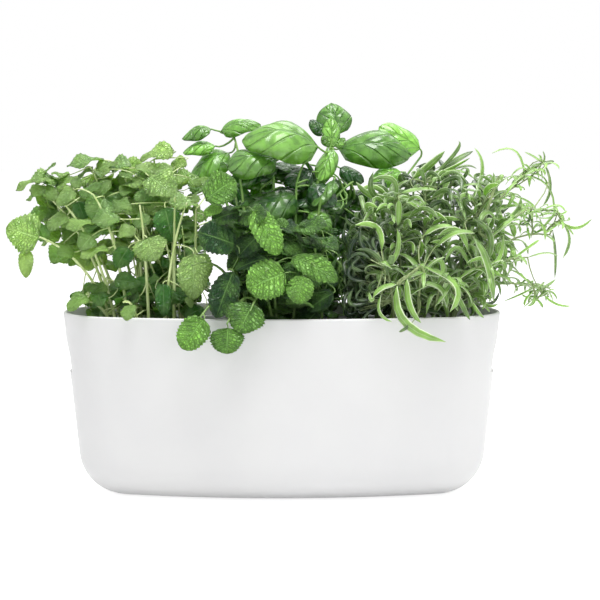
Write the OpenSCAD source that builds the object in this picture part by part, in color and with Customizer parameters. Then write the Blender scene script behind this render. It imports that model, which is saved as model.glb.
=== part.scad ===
// Self-watering herb planter: an oval trough, a tray that lifts out over a water reservoir,
// a capillary felt with wicks, and herbs in nursery pots. Millimetres, +Z up,
// origin at the centre of the base, the long side along X, the front at -Y.

/* [Planter shell] */
// Length over the rim
planter_l = 360; // [330:5:420]
// Depth over the rim, front to back
planter_d = 144; // [140:2:160]
// Height from the base to the rim
planter_h = 152; // [145:1:175]
// Radius of the rounded ends in plan, at the rim
end_r = 56; // [54:1:60]
// Draft of the walls, in degrees
draft = 5.75; // [5:0.25:6.5]
// Radius of the rounded edge between the walls and the base
base_r = 38; // [30:1:39]
// Thickness of the wall and the floor
wall = 3; // [2.5:0.1:3.5]
// Width of the arched windows in the ends
window_w = 39; // [30:1:44]
// Height of the arched windows
window_h = 29; // [25:1:34]
// Drop from the rim to the top of the windows
window_drop = 20; // [14:1:24]

/* [Tray] */
// Gap between the tray and the shell's end walls, where water is poured in
pour_gap = 21; // [20:1:24]
// Gap between the tray and the shell's long walls
side_gap = 8; // [8:0.5:10]
// Drop from the shell's rim to the tray's rim
tray_drop = 10; // [8:1:14]
// Depth of the tray
tray_depth = 94; // [92:1:98]
// Radius of the tray's rounded ends in plan, at its rim
tray_end_r = 50; // [48:0.5:51]
// Draft of the tray's walls, in degrees
tray_draft = 3; // [2:0.5:4]
// Radius of the rounded edge between the tray's walls and floor
tray_base_r = 8; // [5:1:12]
// Thickness of the tray's wall and floor
tray_wall = 1.6; // [1.4:0.1:2]
// Diameter of a tray leg at its foot
leg_d = 11; // [9:1:13]
// Distance between the two legs of a pair
leg_gap = 24; // [22:1:26]

/* [Felt] */
// Thickness of the capillary felt
felt_t = 2.5; // [2:0.1:3.5]
// Width of a wick
wick_w = 20; // [14:1:24]
// Length of a wick's head, which lies under the pot
wick_head = 32; // [24:1:36]
// Height of a wick's lower end above the shell's floor
wick_foot = 3; // [2:1:10]
// Clearance round the felt
felt_gap = 0.5; // [0.3:0.1:1]

/* [Nursery pots] */
// Diameter of a pot's rim
pot_rim_d = 96; // [92:1:97]
// Diameter of a pot's base
pot_base_d = 70; // [64:1:78]
// Height of a pot
pot_h = 86; // [82:1:88]
// Thickness of a pot's wall
pot_wall = 1.2; // [1:0.1:1.6]
// Height of the pot's rim band
pot_band = 7; // [5:1:10]
// Gap between neighbouring pots
pot_gap = 3; // [3:0.5:5]
// Diameter of the drain holes
drain_d = 8; // [5:0.5:9]
// Drop from the pot's rim to the soil
soil_drop = 6; // [5:1:12]
// Clearance between the soil and the pot
soil_gap = 0.3; // [0.2:0.1:0.6]

/* [Herbs] */
// Length of a lemon balm leaf with its stalk
balm_leaf = 34; // [28:1:36]
// Length of a mint leaf with its stalk
mint_leaf = 44; // [36:1:46]
// Length of a basil leaf with its stalk
basil_leaf = 60; // [50:1:64]
// Length of a rosemary leaf
rosemary_leaf = 36; // [30:1:40]
// Diameter of a stem at the soil
stem_d = 3; // [2.4:0.2:3.6]

/* [Hidden] */
$fn = 96;
cut = 1;
half_l = planter_l / 2;
half_d = planter_d / 2;
shell_lean = 1; // the shell's wall leans in by this much at the tray's rim
tray_half_l = half_l - wall - shell_lean - pour_gap;
tray_half_d = half_d - wall - shell_lean - side_gap;
tray_top_z = planter_h - tray_drop;
tray_z = tray_top_z - tray_depth;
felt_z = tray_z + tray_wall;
pot_z = felt_z + felt_t;
pot_rim_z = pot_z + pot_h;
soil_z = pot_rim_z - soil_drop;
pot_pitch = pot_rim_d + pot_gap;
window_top_z = planter_h - window_drop;
leg_flare = 3;
leg_top_d = leg_d + leg_flare;
slot_l = wick_w + 2 * felt_gap;
slot_w = felt_t + 2 * felt_gap;
drain_inset = 12;
drain_ring_r = pot_base_d / 2 - drain_inset;
drain_count = 6;

// Four-centre oval: the long sides are arcs of side_radius() about (0, +-side_offset()), the ends
// are arcs of re about (+-(a - re), 0), and the two meet on the line through both centres.
function side_radius(a, b, re) = ((a - re) * (a - re) + b * b - re * re) / (2 * (b - re));
function side_offset(a, b, re) = side_radius(a, b, re) - b;
oval_reach = 0.2;
function side_piece(a, b, re) = [
  [re - a, 0],
  [a - re, 0],
  [(a - re) * (1 + oval_reach), -side_offset(a, b, re) * oval_reach],
  [(re - a) * (1 + oval_reach), -side_offset(a, b, re) * oval_reach]
];
function end_piece(a, b, re) = [
  [a - re, 0],
  [(a - re) * (1 + oval_reach), -side_offset(a, b, re) * oval_reach],
  [2 * a, -side_offset(a, b, re) * oval_reach],
  [2 * a, side_offset(a, b, re) * oval_reach],
  [(a - re) * (1 + oval_reach), side_offset(a, b, re) * oval_reach]
];

// The flat oval, grown by step outward all round (a negative step shrinks it)
module oval(a, b, re, step) {
  for (turn = [0, 180])
    rotate(turn) {
      intersection() {
        translate([0, side_offset(a, b, re)]) circle(side_radius(a, b, re) + step);
        polygon(side_piece(a, b, re));
      }
      intersection() {
        translate([a - re, 0]) circle(re + step);
        polygon(end_piece(a, b, re));
      }
    }
}

// A section, drawn with x = 0 on the oval and y up, carried once round the oval
module sweep_oval(a, b, re, height) {
  for (turn = [0, 180])
    rotate(turn) {
      intersection() {
        translate([0, side_offset(a, b, re), 0])
          rotate_extrude() translate([side_radius(a, b, re), 0]) children();
        translate([0, 0, -cut]) linear_extrude(height + 2 * cut) polygon(side_piece(a, b, re));
      }
      intersection() {
        translate([a - re, 0, 0]) rotate_extrude() translate([re, 0]) children();
        translate([0, 0, -cut]) linear_extrude(height + 2 * cut) polygon(end_piece(a, b, re));
      }
    }
}

// How far in from the rim the flat of the floor begins
function floor_step(h, slope, fillet) = -(h - fillet) * tan(slope) - fillet / cos(slope);

function arc(centre, r, from, to, steps) = [
  for (k = [0:steps])
    let (angle = from + (to - from) * k / steps)
    centre + r * [cos(angle), sin(angle)]
];

// Wall of a drafted cup: rounded rim, straight wall, rounded corner and a strip of the floor
rim_steps = 8;
corner_steps = 16;
floor_strip = 1;
module cup_wall_section(h, slope, fillet, t) {
  corner = [floor_step(h, slope, fillet), fillet];
  rim = [-t / 2 * tan(slope) - t / 2 / cos(slope), h - t / 2];
  polygon(concat(
    arc(rim, t / 2, -slope, 180 - slope, rim_steps),
    arc(corner, fillet - t, -slope, -90, corner_steps),
    [[corner.x - floor_strip, t], [corner.x - floor_strip, 0]],
    arc(corner, fillet, -90, -slope, corner_steps)
  ));
}

// Drafted oval cup standing on z = 0
module oval_cup(a, b, re, h, slope, fillet, t) {
  sweep_oval(a, b, re, h) cup_wall_section(h, slope, fillet, t);
  linear_extrude(t) oval(a, b, re, floor_step(h, slope, fillet) - floor_strip / 2);
}

// A half round over a straight-sided opening with a flat lip below
module window_arch() {
  spring_z = window_top_z - window_w / 2;
  translate([-window_w / 2, window_top_z - window_h]) square([window_w, window_h - window_w / 2]);
  intersection() {
    translate([0, spring_z]) circle(window_w / 2);
    translate([-window_w / 2, spring_z]) square([window_w, window_w]);
  }
}

// The outer trough, one moulding, with an arched hand-hold and filling window in each end
module planter_shell() {
  color("white")
    difference() {
      oval_cup(half_l, half_d, end_r, planter_h, draft, base_r, wall);
      translate([-planter_l, 0, 0]) rotate([90, 0, 90]) linear_extrude(2 * planter_l) window_arch();
    }
}

module tray_leg() {
  difference() {
    cylinder(h = tray_z - wall, d1 = leg_d, d2 = leg_top_d);
    translate([0, 0, -cut])
      cylinder(h = tray_z - wall + cut, d1 = leg_d - 2 * tray_wall, d2 = leg_top_d - 2 * tray_wall);
  }
}

// The liner that stands in the shell on hollow legs and keeps the pots above the water
module inner_tray() {
  color("gainsboro") {
    difference() {
      translate([0, 0, tray_z])
        oval_cup(tray_half_l, tray_half_d, tray_end_r, tray_depth, tray_draft, tray_base_r, tray_wall);
      for (i = [-1:1])
        translate([i * pot_pitch - slot_w / 2, -slot_l / 2, tray_z - cut])
          cube([slot_w, slot_l, tray_wall + 2 * cut]);
    }
    for (x = [-1, 1], y = [-1, 1])
      translate([x * pot_pitch / 2, y * leg_gap / 2, wall]) tray_leg();
  }
}

// Felt on the tray's floor, with a place cut out for the head of each wick
module capillary_felt() {
  floor_edge = floor_step(tray_depth, tray_draft, tray_base_r);
  color("dimgray")
    translate([0, 0, felt_z])
      linear_extrude(felt_t)
        difference() {
          oval(tray_half_l, tray_half_d, tray_end_r, floor_edge - felt_gap);
          for (i = [-1:1])
            translate([i * pot_pitch, 0])
              square([wick_head + 2 * felt_gap, wick_w + 2 * felt_gap], center = true);
        }
}

// A felt strip: its head lies under the pot and its tail hangs through the slot into the water
module wick(i) {
  color("dimgray")
    translate([i * pot_pitch, -wick_w / 2, 0]) {
      translate([-wick_head / 2, 0, felt_z]) cube([wick_head, wick_w, felt_t]);
      translate([-felt_t / 2, 0, wall + wick_foot]) cube([felt_t, wick_w, felt_z - wall - wick_foot]);
    }
}

// Inner radius of a pot at a height above its base
function pot_inner_r(z) =
  pot_base_d / 2 - pot_wall + (pot_rim_d - 2 * pot_wall - pot_base_d) / 2 * z / pot_h;

// A thin thermoformed pot with a rim band and drain holes
module nursery_pot(i) {
  neck_r = pot_inner_r(pot_h - pot_band) + pot_wall;
  color("darkslategray")
    translate([i * pot_pitch, 0, pot_z])
      difference() {
        rotate_extrude()
          polygon([
            [0, 0],
            [pot_base_d / 2, 0],
            [neck_r, pot_h - pot_band],
            [pot_rim_d / 2, pot_h - pot_band],
            [pot_rim_d / 2, pot_h],
            [pot_inner_r(pot_h), pot_h],
            [pot_inner_r(pot_wall), pot_wall],
            [0, pot_wall]
          ]);
        for (k = [0:drain_count - 1])
          rotate(k * 360 / drain_count)
            translate([drain_ring_r, 0, -cut]) cylinder(h = pot_wall + 2 * cut, d = drain_d);
      }
}

// The root ball that fills a pot
module soil(i) {
  color("saddlebrown")
    translate([i * pot_pitch, 0, pot_z + pot_wall])
      cylinder(
        h = soil_z - pot_z - pot_wall,
        r1 = pot_inner_r(pot_wall) - soil_gap,
        r2 = pot_inner_r(soil_z - pot_z) - soil_gap
      );
}

// Stems: base x and y, tip x, y and z, height of the bend, turn of the first leaves and pitch of the
// leaves in degrees. They start on the soil, at the pot's middle.
balm_stems = [
  [-36, -8, -106, -14, 84, 70, 200, -10],
  [-38, 6, -104, 8, 122, 90, 170, 5],
  [-34, -18, -80, -22, 112, 80, 215, 0],
  [-30, 14, -60, 16, 138, 100, 150, 10],
  [-24, -22, -52, -28, 116, 85, 250, -5],
  [-18, 20, -34, 24, 138, 100, 100, 10],
  [-8, -30, -14, -38, 108, 80, 280, -10],
  [0, 26, -8, 28, 144, 100, 60, 10],
  [10, 2, 8, 0, 132, 92, 300, 0],
  [12, -28, 14, -36, 114, 80, 260, -10],
  [28, -12, 30, -22, 104, 75, 300, -5],
  [-40, -16, -66, -30, 30, 34, 205, -5],
  [-16, -40, -26, -56, 32, 36, 250, -15],
  [-22, 34, -58, 40, 116, 85, 130, 5],
  [-38, 22, -86, 36, 102, 80, 150, 0],
  [4, -40, 24, -40, 110, 80, 320, 0]
];
mint_stems = [
  [-24, -36, -66, -82, 18, 66, 200, -55],
  [-14, -40, -42, -86, 18, 62, 230, -60],
  [-6, -42, -24, -86, 28, 60, 280, -45],
  [-28, -32, -42, -64, 58, 66, 250, -40],
  [-4, -40, -12, -78, 58, 74, 210, -30],
  [16, -40, 26, -78, 62, 76, 330, -25],
  [8, -36, 22, -70, 50, 66, 300, -35],
  [-10, -34, -14, -62, 98, 86, 240, -30],
  [-29, -26, -54, -62, 112, 80, 220, -20],
  [-30, -24, -38, -38, 122, 96, 190, -5],
  [-27, -31, -70, -68, 62, 74, 230, -40],
  [28, -30, 36, -56, 74, 78, 320, -20],
  [32, -24, 36, -44, 46, 56, 300, -15]
];
basil_stems = [
  [16, 26, 40, 60, 156, 120, 270, 5],
  [-20, 26, -42, 60, 166, 120, 270, 0],
  [-4, 8, -8, 14, 146, 110, 275, -5],
  [10, 4, 12, 2, 124, 95, 300, -10],
  [26, 20, 42, 30, 160, 120, 310, 10],
  [14, 36, 122, 98, 146, 50, 270, 10],
  [24, -4, 32, -10, 112, 85, 330, -10],
  [-26, 0, -34, -6, 128, 95, 200, 0],
  [-26, 30, -62, 62, 132, 105, 270, 0],
  [4, 34, 66, 60, 128, 105, 280, 0]
];
rosemary_stems = [
  [30, 10, 44, 12, 138, 96, 20, 50],
  [16, -10, 18, -14, 128, 90, 60, 45],
  [36, -6, 78, -8, 124, 96, 10, 30],
  [38, 8, 92, 14, 120, 96, 30, 30],
  [38, -14, 106, -18, 106, 88, 340, 20],
  [40, 2, 122, 4, 82, 90, 0, 15],
  [36, -24, 98, -36, 66, 66, 330, 10],
  [34, 22, 94, 34, 92, 80, 30, 25],
  [40, 14, 108, 24, 38, 50, 20, 5],
  [0, -14, -8, -22, 108, 80, 240, 40],
  [-20, -10, -26, -18, 92, 70, 200, 35],
  [-28, 14, -30, 18, 104, 76, 150, 40],
  [8, 28, 12, 36, 116, 84, 90, 45],
  [-8, -36, -18, -56, 60, 56, 250, 20],
  [10, -40, 12, -74, 56, 66, 280, 0],
  [24, -36, 34, -72, 46, 64, 300, -10],
  [32, -28, 64, -50, 60, 60, 320, 15]
];

// Large leaves of the basil and the mint: foot x, y and z, tip x, y and z, width, and lean of the face
// toward the front in degrees, from the pot's middle on the soil. A stalk joins each to the nearest stem
// behind it.
basil_leaves = [
  [30, 12, 156, -33, 2, 160, 42, 46],
  [49, 70, 154, 110, 72, 148, 37, 68],
  [41, 30, 154, 39, 36, 180, 16, 60],
  [42, 26, 154, 31, 12, 126, 18, 70],
  [54, 60, 169, 30, 68, 189, 34, 50],
  [119, 98, 156, 84, 94, 174, 30, 60],
  [-4, 4, 145, -45, -4, 138, 34, 48],
  [-52, 62, 169, -20, 64, 177, 22, 38],
  [-62, 64, 171, -87, 66, 162, 18, 35],
  [-58, 64, 156, -86, 64, 150, 18, 35],
  [-47, 68, 150, -82, 66, 121, 26, 45],
  [12, 6, 114, -32, -4, 93, 36, 45],
  [22, 4, 123, 44, -4, 107, 24, 60],
  [25, -4, 101, 40, -10, 87, 22, 65],
  [102, 62, 134, 76, 60, 126, 22, 60],
  [50, 60, 137, 70, 58, 125, 18, 60],
  [25, 12, 134, 2, 8, 126, 24, 55]
];
mint_leaves = [
  [-59, -62, 113, -36, -60, 130, 30, 60],
  [-33, -58, 104, -54, -64, 97, 20, 45],
  [-35, -62, 78, -65, -70, 88, 28, 65],
  [-18, -52, 84, -34, -60, 68, 20, 65],
  [-21, -66, 105, -1, -74, 71, 24, 55],
  [9, -62, 67, 44, -74, 50, 22, 50],
  [3, -72, 56, -26, -80, 44, 32, 70],
  [17, -74, 54, 13, -80, 33, 20, 75],
  [-38, -66, 57, -51, -72, 24, 24, 78],
  [-24, -80, 32, -40, -88, 14, 24, 65],
  [-42, -84, 14, -42, -90, -4, 24, 78],
  [-61, -80, 20, -76, -88, 0, 22, 72]
];

// Leaf rules: leaves per whorl, whorls, first whorl along the stem, turn from whorl to whorl, droop, the
// sections along a leaf as distance and half width, both as shares of its length, and leaves at the tip
balm_rule = [2, 3, 0.62, 90, 0.35, [[0.28, 0.015], [0.5, 0.3], [0.8, 0.24]], 1];
mint_rule = [1, 1, 0.6, 90, 0.3, [[0.25, 0.015], [0.48, 0.3], [0.8, 0.22]], 0];
basil_rule = [1, 1, 0.62, 90, 0.35, [[0.14, 0.015], [0.42, 0.27], [0.75, 0.22]], 0];
rosemary_rule = [2, 5, 0.34, 75, 0.55, [[0.35, 0.07], [0.75, 0.055]], 1];

// Repeatable scatter between -1 and 1 from two counting numbers
function scatter(i, k) =
  let (wave = sin(i * 47.3 + k * 113.9) * 977.7)
  2 * (wave - floor(wave)) - 1;
function level(v) = [v.x, v.y, 0];
function unit(v) = v / max(norm(v), 0.001);
stem_room = 1.6 * stem_d;
stem_reach = pot_inner_r(soil_z - pot_z) - soil_gap - stem_room;
function stem_base(s) = let (b = [s[0], s[1], 0]) b * min(1, stem_reach / max(norm(b), 1));
function stem_tip(s) = [s[2], s[3], s[4]];
bend_share = 0.3; // how far toward the tip, in plan, a stem bends
function stem_bend(s) = let (b = stem_base(s)) level(b + bend_share * (stem_tip(s) - b)) + [0, 0, s[5]];
function stem_at(s, t) =
  (1 - t) * (1 - t) * stem_base(s) + 2 * t * (1 - t) * stem_bend(s) + t * t * stem_tip(s);
// The same on the straight runs between the stem's rings, where its leaves sit
function stem_on(s, t) =
  let (runs = stem_rings - 1, k = min(floor(t * runs), runs - 1), share = t * runs - k)
  (1 - share) * stem_at(s, k / runs) + share * stem_at(s, (k + 1) / runs);
function stem_way(s, t) =
  unit((1 - t) * (stem_bend(s) - stem_base(s)) + t * (stem_tip(s) - stem_bend(s)));
function stem_heading(s) = unit(level(stem_tip(s) - stem_base(s)));

// Leaves of one stem as [foot, yaw, pitch, length]; a tip leaf ends the stem
last_whorl = 0.96;
yaw_scatter = 25;
pitch_scatter = 18;
size_scatter = 0.14;
tip_share = 0.98;
tip_scatter = 20;
tip_lift = 15;
tip_size = 0.9;
function stem_leaves(s, n, rule, length) = concat(
  [
    for (k = [0:rule[1] - 1], side = [0:rule[0] - 1])
      let (t = rule[2] + (last_whorl - rule[2]) * k / max(rule[1] - 1, 1))
      [
        stem_on(s, t),
        s[6] + k * rule[3] + side * 360 / rule[0] + yaw_scatter * scatter(n, 2 * k + side),
        s[7] + pitch_scatter * scatter(n + 40, 2 * k + side),
        length * (1 - size_scatter + size_scatter * scatter(n + 80, 2 * k + side))
      ]
  ],
  [
    for (k = [1:1:rule[6]])
    let (h = stem_heading(s))
    [
      stem_on(s, tip_share),
      atan2(h.y, h.x) + tip_scatter * scatter(n, 90),
      s[7] + tip_lift,
      length * tip_size
    ]
  ]
);

function leaf_along(leaf, rule, share) =
  let (yaw = leaf[1], pitch = leaf[2], length = leaf[3])
  leaf[0] + length * share * [cos(yaw) * cos(pitch), sin(yaw) * cos(pitch), sin(pitch)]
    - [0, 0, rule[4] * length * share * share];
function leaf_points(leaf, rule) =
  let (across = leaf[3] * [-sin(leaf[1]), cos(leaf[1]), 0])
  [
    leaf[0],
    for (section = rule[5])
      let (mid = leaf_along(leaf, rule, section[0]), edge = section[1] * across)
      each [mid + edge, mid - edge, mid - [0, 0, keel_depth]],
    leaf_along(leaf, rule, 1)
  ];
keel_depth = 1.2;
function leaf_faces(sections) = concat(
  [for (j = [0:2]) [0, 1 + j, 1 + (j + 1) % 3]],
  [
    for (k = [0:sections - 2], j = [0:2])
      let (a = 1 + 3 * k + j, b = 1 + 3 * k + (j + 1) % 3)
      each [[a, b + 3, b], [a, a + 3, b + 3]]
  ],
  [for (j = [0:2]) let (a = 3 * sections - 2) [a + (j + 1) % 3, a + j, 3 * sections + 1]]
);

// A large leaf: its stalk's start, its foot, then a section at each share of its length and its tip.
// Its middle arches over and stands above its edges, or below them where swell is negative.
large_sections = [[0.02, 0.03], [0.3, 0.44], [0.62, 0.44], [0.87, 0.23]];
first_stalk = 0.35; // lowest share of a stem that carries a large leaf
stalk_steps = 20;
stalk_half = 1; // half the width of a stalk at the leaf's foot
stalk_root = 2; // how far a stalk goes on past the middle of its stem
stalk_turn = 70; // widest angle between a stalk and its leaf
function stalk_start(stems, foot, run) =
  let (
    step = (tip_share - first_stalk) / stalk_steps,
    places = [for (s = stems, k = [0:stalk_steps]) stem_on(s, first_stalk + k * step)],
    behind = [for (q = places) if (unit(foot - q) * unit(run) > cos(stalk_turn)) q],
    least = min([for (q = behind) norm(q - foot)])
  )
  [for (q = behind) if (norm(q - foot) == least) q][0];
function large_points(own, stems, arch, swell) =
  let (
    foot = [own[0], own[1], own[2]],
    run = [own[3], own[4], own[5]] - foot,
    across = unit(cross(run, [0, -sin(own[7]), cos(own[7])])),
    face = cross(across, unit(run)),
    side = swell > 0 ? 1 : -1,
    start = stalk_start(stems, foot, run)
  )
  [
    start - stalk_root * unit(foot - start),
    for (section = large_sections)
      let (
        over = 4 * arch * section[0] * (1 - section[0]) * norm(run),
        mid = foot + section[0] * run + over * face,
        edge = side * max(stalk_half, own[6] * section[1]) * across
      )
      each [mid + edge, mid - edge, mid + side * max(keel_depth, abs(swell) * norm(edge)) * face],
    foot + run
  ];

// Each pot lifts straight up, so its herbs keep to its own part of the plan: the middle pot's reach
// past the pots on either side only in front of them and behind them.
strip_y = pot_rim_d / 2 + pot_gap / 2;
front_strip = [-92, 68];
back_strip = [-92, 126];
zone_gap = 0.8;
// In the middle pot the mint grows in front of the basil
mint_back_y = -18;
function in_strips(p, gap) =
  (p.y < gap - strip_y && p.x > front_strip[0] - gap && p.x < front_strip[1] + gap) ||
  (p.y > strip_y - gap && p.x > back_strip[0] - gap && p.x < back_strip[1] + gap);
function in_zone(i, p) =
  i == 0 ? abs(p.x) < pot_pitch / 2 - zone_gap || in_strips(p, -zone_gap)
  : i * p.x > pot_pitch / 2 + zone_gap && !in_strips(p, zone_gap);
// A leaf is clear of the rim if all of it is above the rim, in front of it, or well inside it
rim_gap = 2;
rim_inset = 14;
function above_rim(p) = p.z > planter_h + rim_gap;
function before_rim(p) = p.y < -half_d - rim_gap;
function inside_rim(p) =
  p.z > tray_top_z + rim_gap && norm([p.x * half_d / half_l, p.y]) < half_d - rim_inset;
function all_true(list) = len([for (v = list) if (!v) v]) == 0;
function leaf_fits(i, points, depth) =
  all_true([for (p = points) in_zone(i, p) && p.y > depth[0] && p.y < depth[1]]) && (
    all_true([for (p = points) above_rim(p)]) ||
    all_true([for (p = points) before_rim(p)]) ||
    all_true([for (p = points) inside_rim(p)])
  );

module leaf(points, sections) {
  polyhedron(points, leaf_faces(len(sections)));
}

stem_rings = 5;
stem_taper = 0.6;
module stem(s) {
  heading = stem_heading(s);
  across = [-heading.y, heading.x, 0];
  rings = [
    for (k = [0:stem_rings - 1])
      let (
        t = k / (stem_rings - 1),
        r = stem_d / 2 * (1 - stem_taper * t),
        lift = k == 0 ? heading : cross(across, stem_way(s, t))
      )
      each [for (q = [across, lift, -across, -lift]) stem_at(s, t) + r * q]
  ];
  polyhedron(rings, concat(
    [[3, 2, 1, 0]],
    [
      for (k = [0:stem_rings - 2], j = [0:3])
        let (a = 4 * k + j, b = 4 * k + (j + 1) % 4)
        each [[a, b, b + 4], [a, b + 4, a + 4]]
    ],
    [[for (j = [0:3]) 4 * (stem_rings - 1) + j]]
  ));
}

// The thickened foot of a stem on the soil
collar_flat = 0.4;
module stem_collar(s) {
  translate(stem_base(s))
    hull() {
      cylinder(h = collar_flat, d = stem_room, $fn = 6);
      cylinder(h = stem_room, d = stem_d, $fn = 6);
    }
}

module large_leaves(rows, stems, depth, arch, swell) {
  for (own = rows)
    let (points = [for (p = large_points(own, stems, arch, swell)) p + [0, 0, soil_z]])
      if (leaf_fits(0, points, depth)) leaf(points, large_sections);
}

module herb(i, stems, rule, length, depth = [-planter_d, planter_d]) {
  foot = [i * pot_pitch, 0, soil_z];
  for (n = [0:len(stems) - 1]) {
    translate(foot) stem(stems[n]);
    translate(foot) stem_collar(stems[n]);
    for (own = stem_leaves(stems[n], n, rule, length))
      let (points = [for (p = leaf_points(own, rule)) p + foot])
        if (leaf_fits(i, points, depth)) leaf(points, rule[5]);
  }
}

module lemon_balm() {
  color("yellowgreen") herb(-1, balm_stems, balm_rule, balm_leaf);
}

module mint() {
  depth = [-planter_d, mint_back_y - zone_gap / 2];
  color("limegreen") {
    herb(0, mint_stems, mint_rule, mint_leaf, depth);
    large_leaves(mint_leaves, mint_stems, depth, 0.06, -0.1);
  }
}

module basil() {
  depth = [mint_back_y + zone_gap / 2, planter_d];
  color("forestgreen") {
    herb(0, basil_stems, basil_rule, basil_leaf, depth);
    large_leaves(basil_leaves, basil_stems, depth, 0.15, 0.3);
  }
}

module rosemary() {
  color("darkseagreen") herb(1, rosemary_stems, rosemary_rule, rosemary_leaf);
}

planter_shell();
inner_tray();
capillary_felt();
wick(-1);  // wick_left
wick(0);  // wick_centre
wick(1);  // wick_right
nursery_pot(-1);  // nursery_pot_left
nursery_pot(0);  // nursery_pot_centre
nursery_pot(1);  // nursery_pot_right
soil(-1);  // soil_left
soil(0);  // soil_centre
soil(1);  // soil_right
lemon_balm();
mint();
basil();
rosemary();
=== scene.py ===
import math
import random

import bmesh
import bpy
from mathutils import Matrix, Vector, noise


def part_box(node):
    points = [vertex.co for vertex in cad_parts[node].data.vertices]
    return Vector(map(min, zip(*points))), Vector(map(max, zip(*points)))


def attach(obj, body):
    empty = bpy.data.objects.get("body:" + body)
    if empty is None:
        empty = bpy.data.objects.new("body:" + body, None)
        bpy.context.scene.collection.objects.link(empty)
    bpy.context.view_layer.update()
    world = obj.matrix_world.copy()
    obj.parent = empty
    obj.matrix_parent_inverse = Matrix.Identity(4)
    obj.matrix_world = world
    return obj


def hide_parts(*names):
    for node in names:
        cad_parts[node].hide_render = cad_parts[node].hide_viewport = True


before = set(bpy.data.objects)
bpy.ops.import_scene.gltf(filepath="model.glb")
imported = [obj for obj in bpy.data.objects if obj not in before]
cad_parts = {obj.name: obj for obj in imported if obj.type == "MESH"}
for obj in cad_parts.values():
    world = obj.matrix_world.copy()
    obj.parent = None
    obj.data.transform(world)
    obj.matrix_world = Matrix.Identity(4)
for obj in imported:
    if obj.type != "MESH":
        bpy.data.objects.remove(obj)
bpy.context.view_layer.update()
mm = 0.001


# Camera: it stands 1.3 m in front of the planter, a little above the rim, and takes a square picture.
# Leaves that show plainly in the picture are placed by following the ray of their pixel.
picture = 600
sensor = 36.0
focal_px = 1575
stand_off = 1.3
elevation = math.radians(5.4)
yaw = math.radians(-0.35)
sight = Vector((0.0149, 0.0, 0.1605))
eye = sight + stand_off * Vector((
    math.sin(yaw) * math.cos(elevation), -math.cos(yaw) * math.cos(elevation), math.sin(elevation)))
ahead = (sight - eye).normalized()
rightward = ahead.cross(Vector((0, 0, 1))).normalized()
upward = rightward.cross(ahead)
camera = bpy.data.objects.new("camera", bpy.data.cameras.new("camera"))
camera.data.sensor_width = sensor
camera.data.lens = focal_px * sensor / picture
camera.location = eye
camera.rotation_euler = ahead.to_track_quat("-Z", "Y").to_euler()
bpy.context.scene.collection.objects.link(camera)
bpy.context.scene.camera = camera


def seen_at(px, py, depth):
    """The point that shows at a pixel of the picture and lies this far behind the planter's middle."""
    ray = ahead + rightward * (px - picture / 2) / focal_px + upward * (picture / 2 - py) / focal_px
    return eye + ray * (depth - eye.y) / ray.y


# Planter shell: the outer trough, one injection moulding in matt white plastic. Its walls lean out
# to a rounded rim, and the arched window in each end is a hand-hold and the place to pour water in.
shell_half_l, shell_half_d, shell_h = 0.180, 0.072, 0.152
shell_end_r = 0.056
shell_draft = math.radians(5.75)
shell_base_r = 0.038
shell_wall = 0.003
base_steps, wall_steps, rim_steps, end_steps, side_steps = 16, 12, 8, 28, 24
window_w, window_h, window_drop = 0.039, 0.029, 0.020
window_lip_r, window_steps = 0.0007, 32
shell_white, shell_shade = (0.73, 0.73, 0.73, 1), (0.71, 0.71, 0.715, 1)


def make_piece(name, shape, body, *finishes):
    """Turn a finished bmesh into a smooth-shaded piece that rides on a body."""
    mesh = bpy.data.meshes.new(name)
    shape.to_mesh(mesh)
    shape.free()
    mesh.shade_smooth()
    for finish in finishes:
        mesh.materials.append(finish)
    piece = bpy.data.objects.new(name, mesh)
    bpy.context.scene.collection.objects.link(piece)
    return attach(piece, body)


def add_node(tree, kind, inputs=(), **settings):
    """A shader node with its settings; its inputs are set, or linked from another node's socket."""
    node = tree.nodes.new("ShaderNode" + kind)
    for name, value in settings.items():
        setattr(node, name, value)
    for name, value in dict(inputs).items():
        if isinstance(value, bpy.types.NodeSocket):
            tree.links.new(value, node.inputs[name])
        else:
            node.inputs[name].default_value = value
    return node


def mix_colours(tree, share, first, second, blend="MIX"):
    """The colour between two colours, as a socket."""
    node = add_node(tree, "Mix", {0: share, 6: first, 7: second}, data_type="RGBA", blend_type=blend)
    return node.outputs[2]


def map_range(tree, value, low, high, to_low, to_high):
    """A value carried smoothly from one range to another, as a socket."""
    return add_node(tree, "MapRange", {
        "Value": value, "From Min": low, "From Max": high, "To Min": to_low, "To Max": to_high,
    }, interpolation_type="SMOOTHSTEP").outputs[0]


def calculate(tree, operation, first, second=0.0):
    """One step of arithmetic, as a socket."""
    return add_node(tree, "Math", {0: first, 1: second}, operation=operation).outputs[0]


def new_finish(name):
    """An empty material with its node tree and its Principled shader."""
    finish = bpy.data.materials.new(name)
    finish.use_nodes = True
    return finish, finish.node_tree, finish.node_tree.nodes["Principled BSDF"]


def moulded_plastic(name, colour, shade, roughness, grain, relief):
    """Moulded plastic: a fine eroded grain from the tool, and faint cloudy changes of gloss."""
    finish, tree, surface = new_finish(name)
    place = add_node(tree, "TexCoord").outputs["Object"]
    cloud = add_node(tree, "TexNoise", {"Vector": place, "Scale": 14.0, "Detail": 3.0}).outputs["Fac"]
    fine = add_node(tree, "TexNoise", {"Vector": place, "Scale": grain, "Detail": 2.0}).outputs["Fac"]
    tree.links.new(mix_colours(tree, map_range(tree, cloud, 0.3, 0.7, 0, 1), colour, shade),
                   surface.inputs["Base Color"])
    tree.links.new(map_range(tree, cloud, 0.25, 0.75, roughness - 0.05, roughness + 0.05),
                   surface.inputs["Roughness"])
    bump = add_node(tree, "Bump", {"Height": fine, "Strength": relief, "Distance": 0.0002})
    tree.links.new(bump.outputs[0], surface.inputs["Normal"])
    return finish


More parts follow.
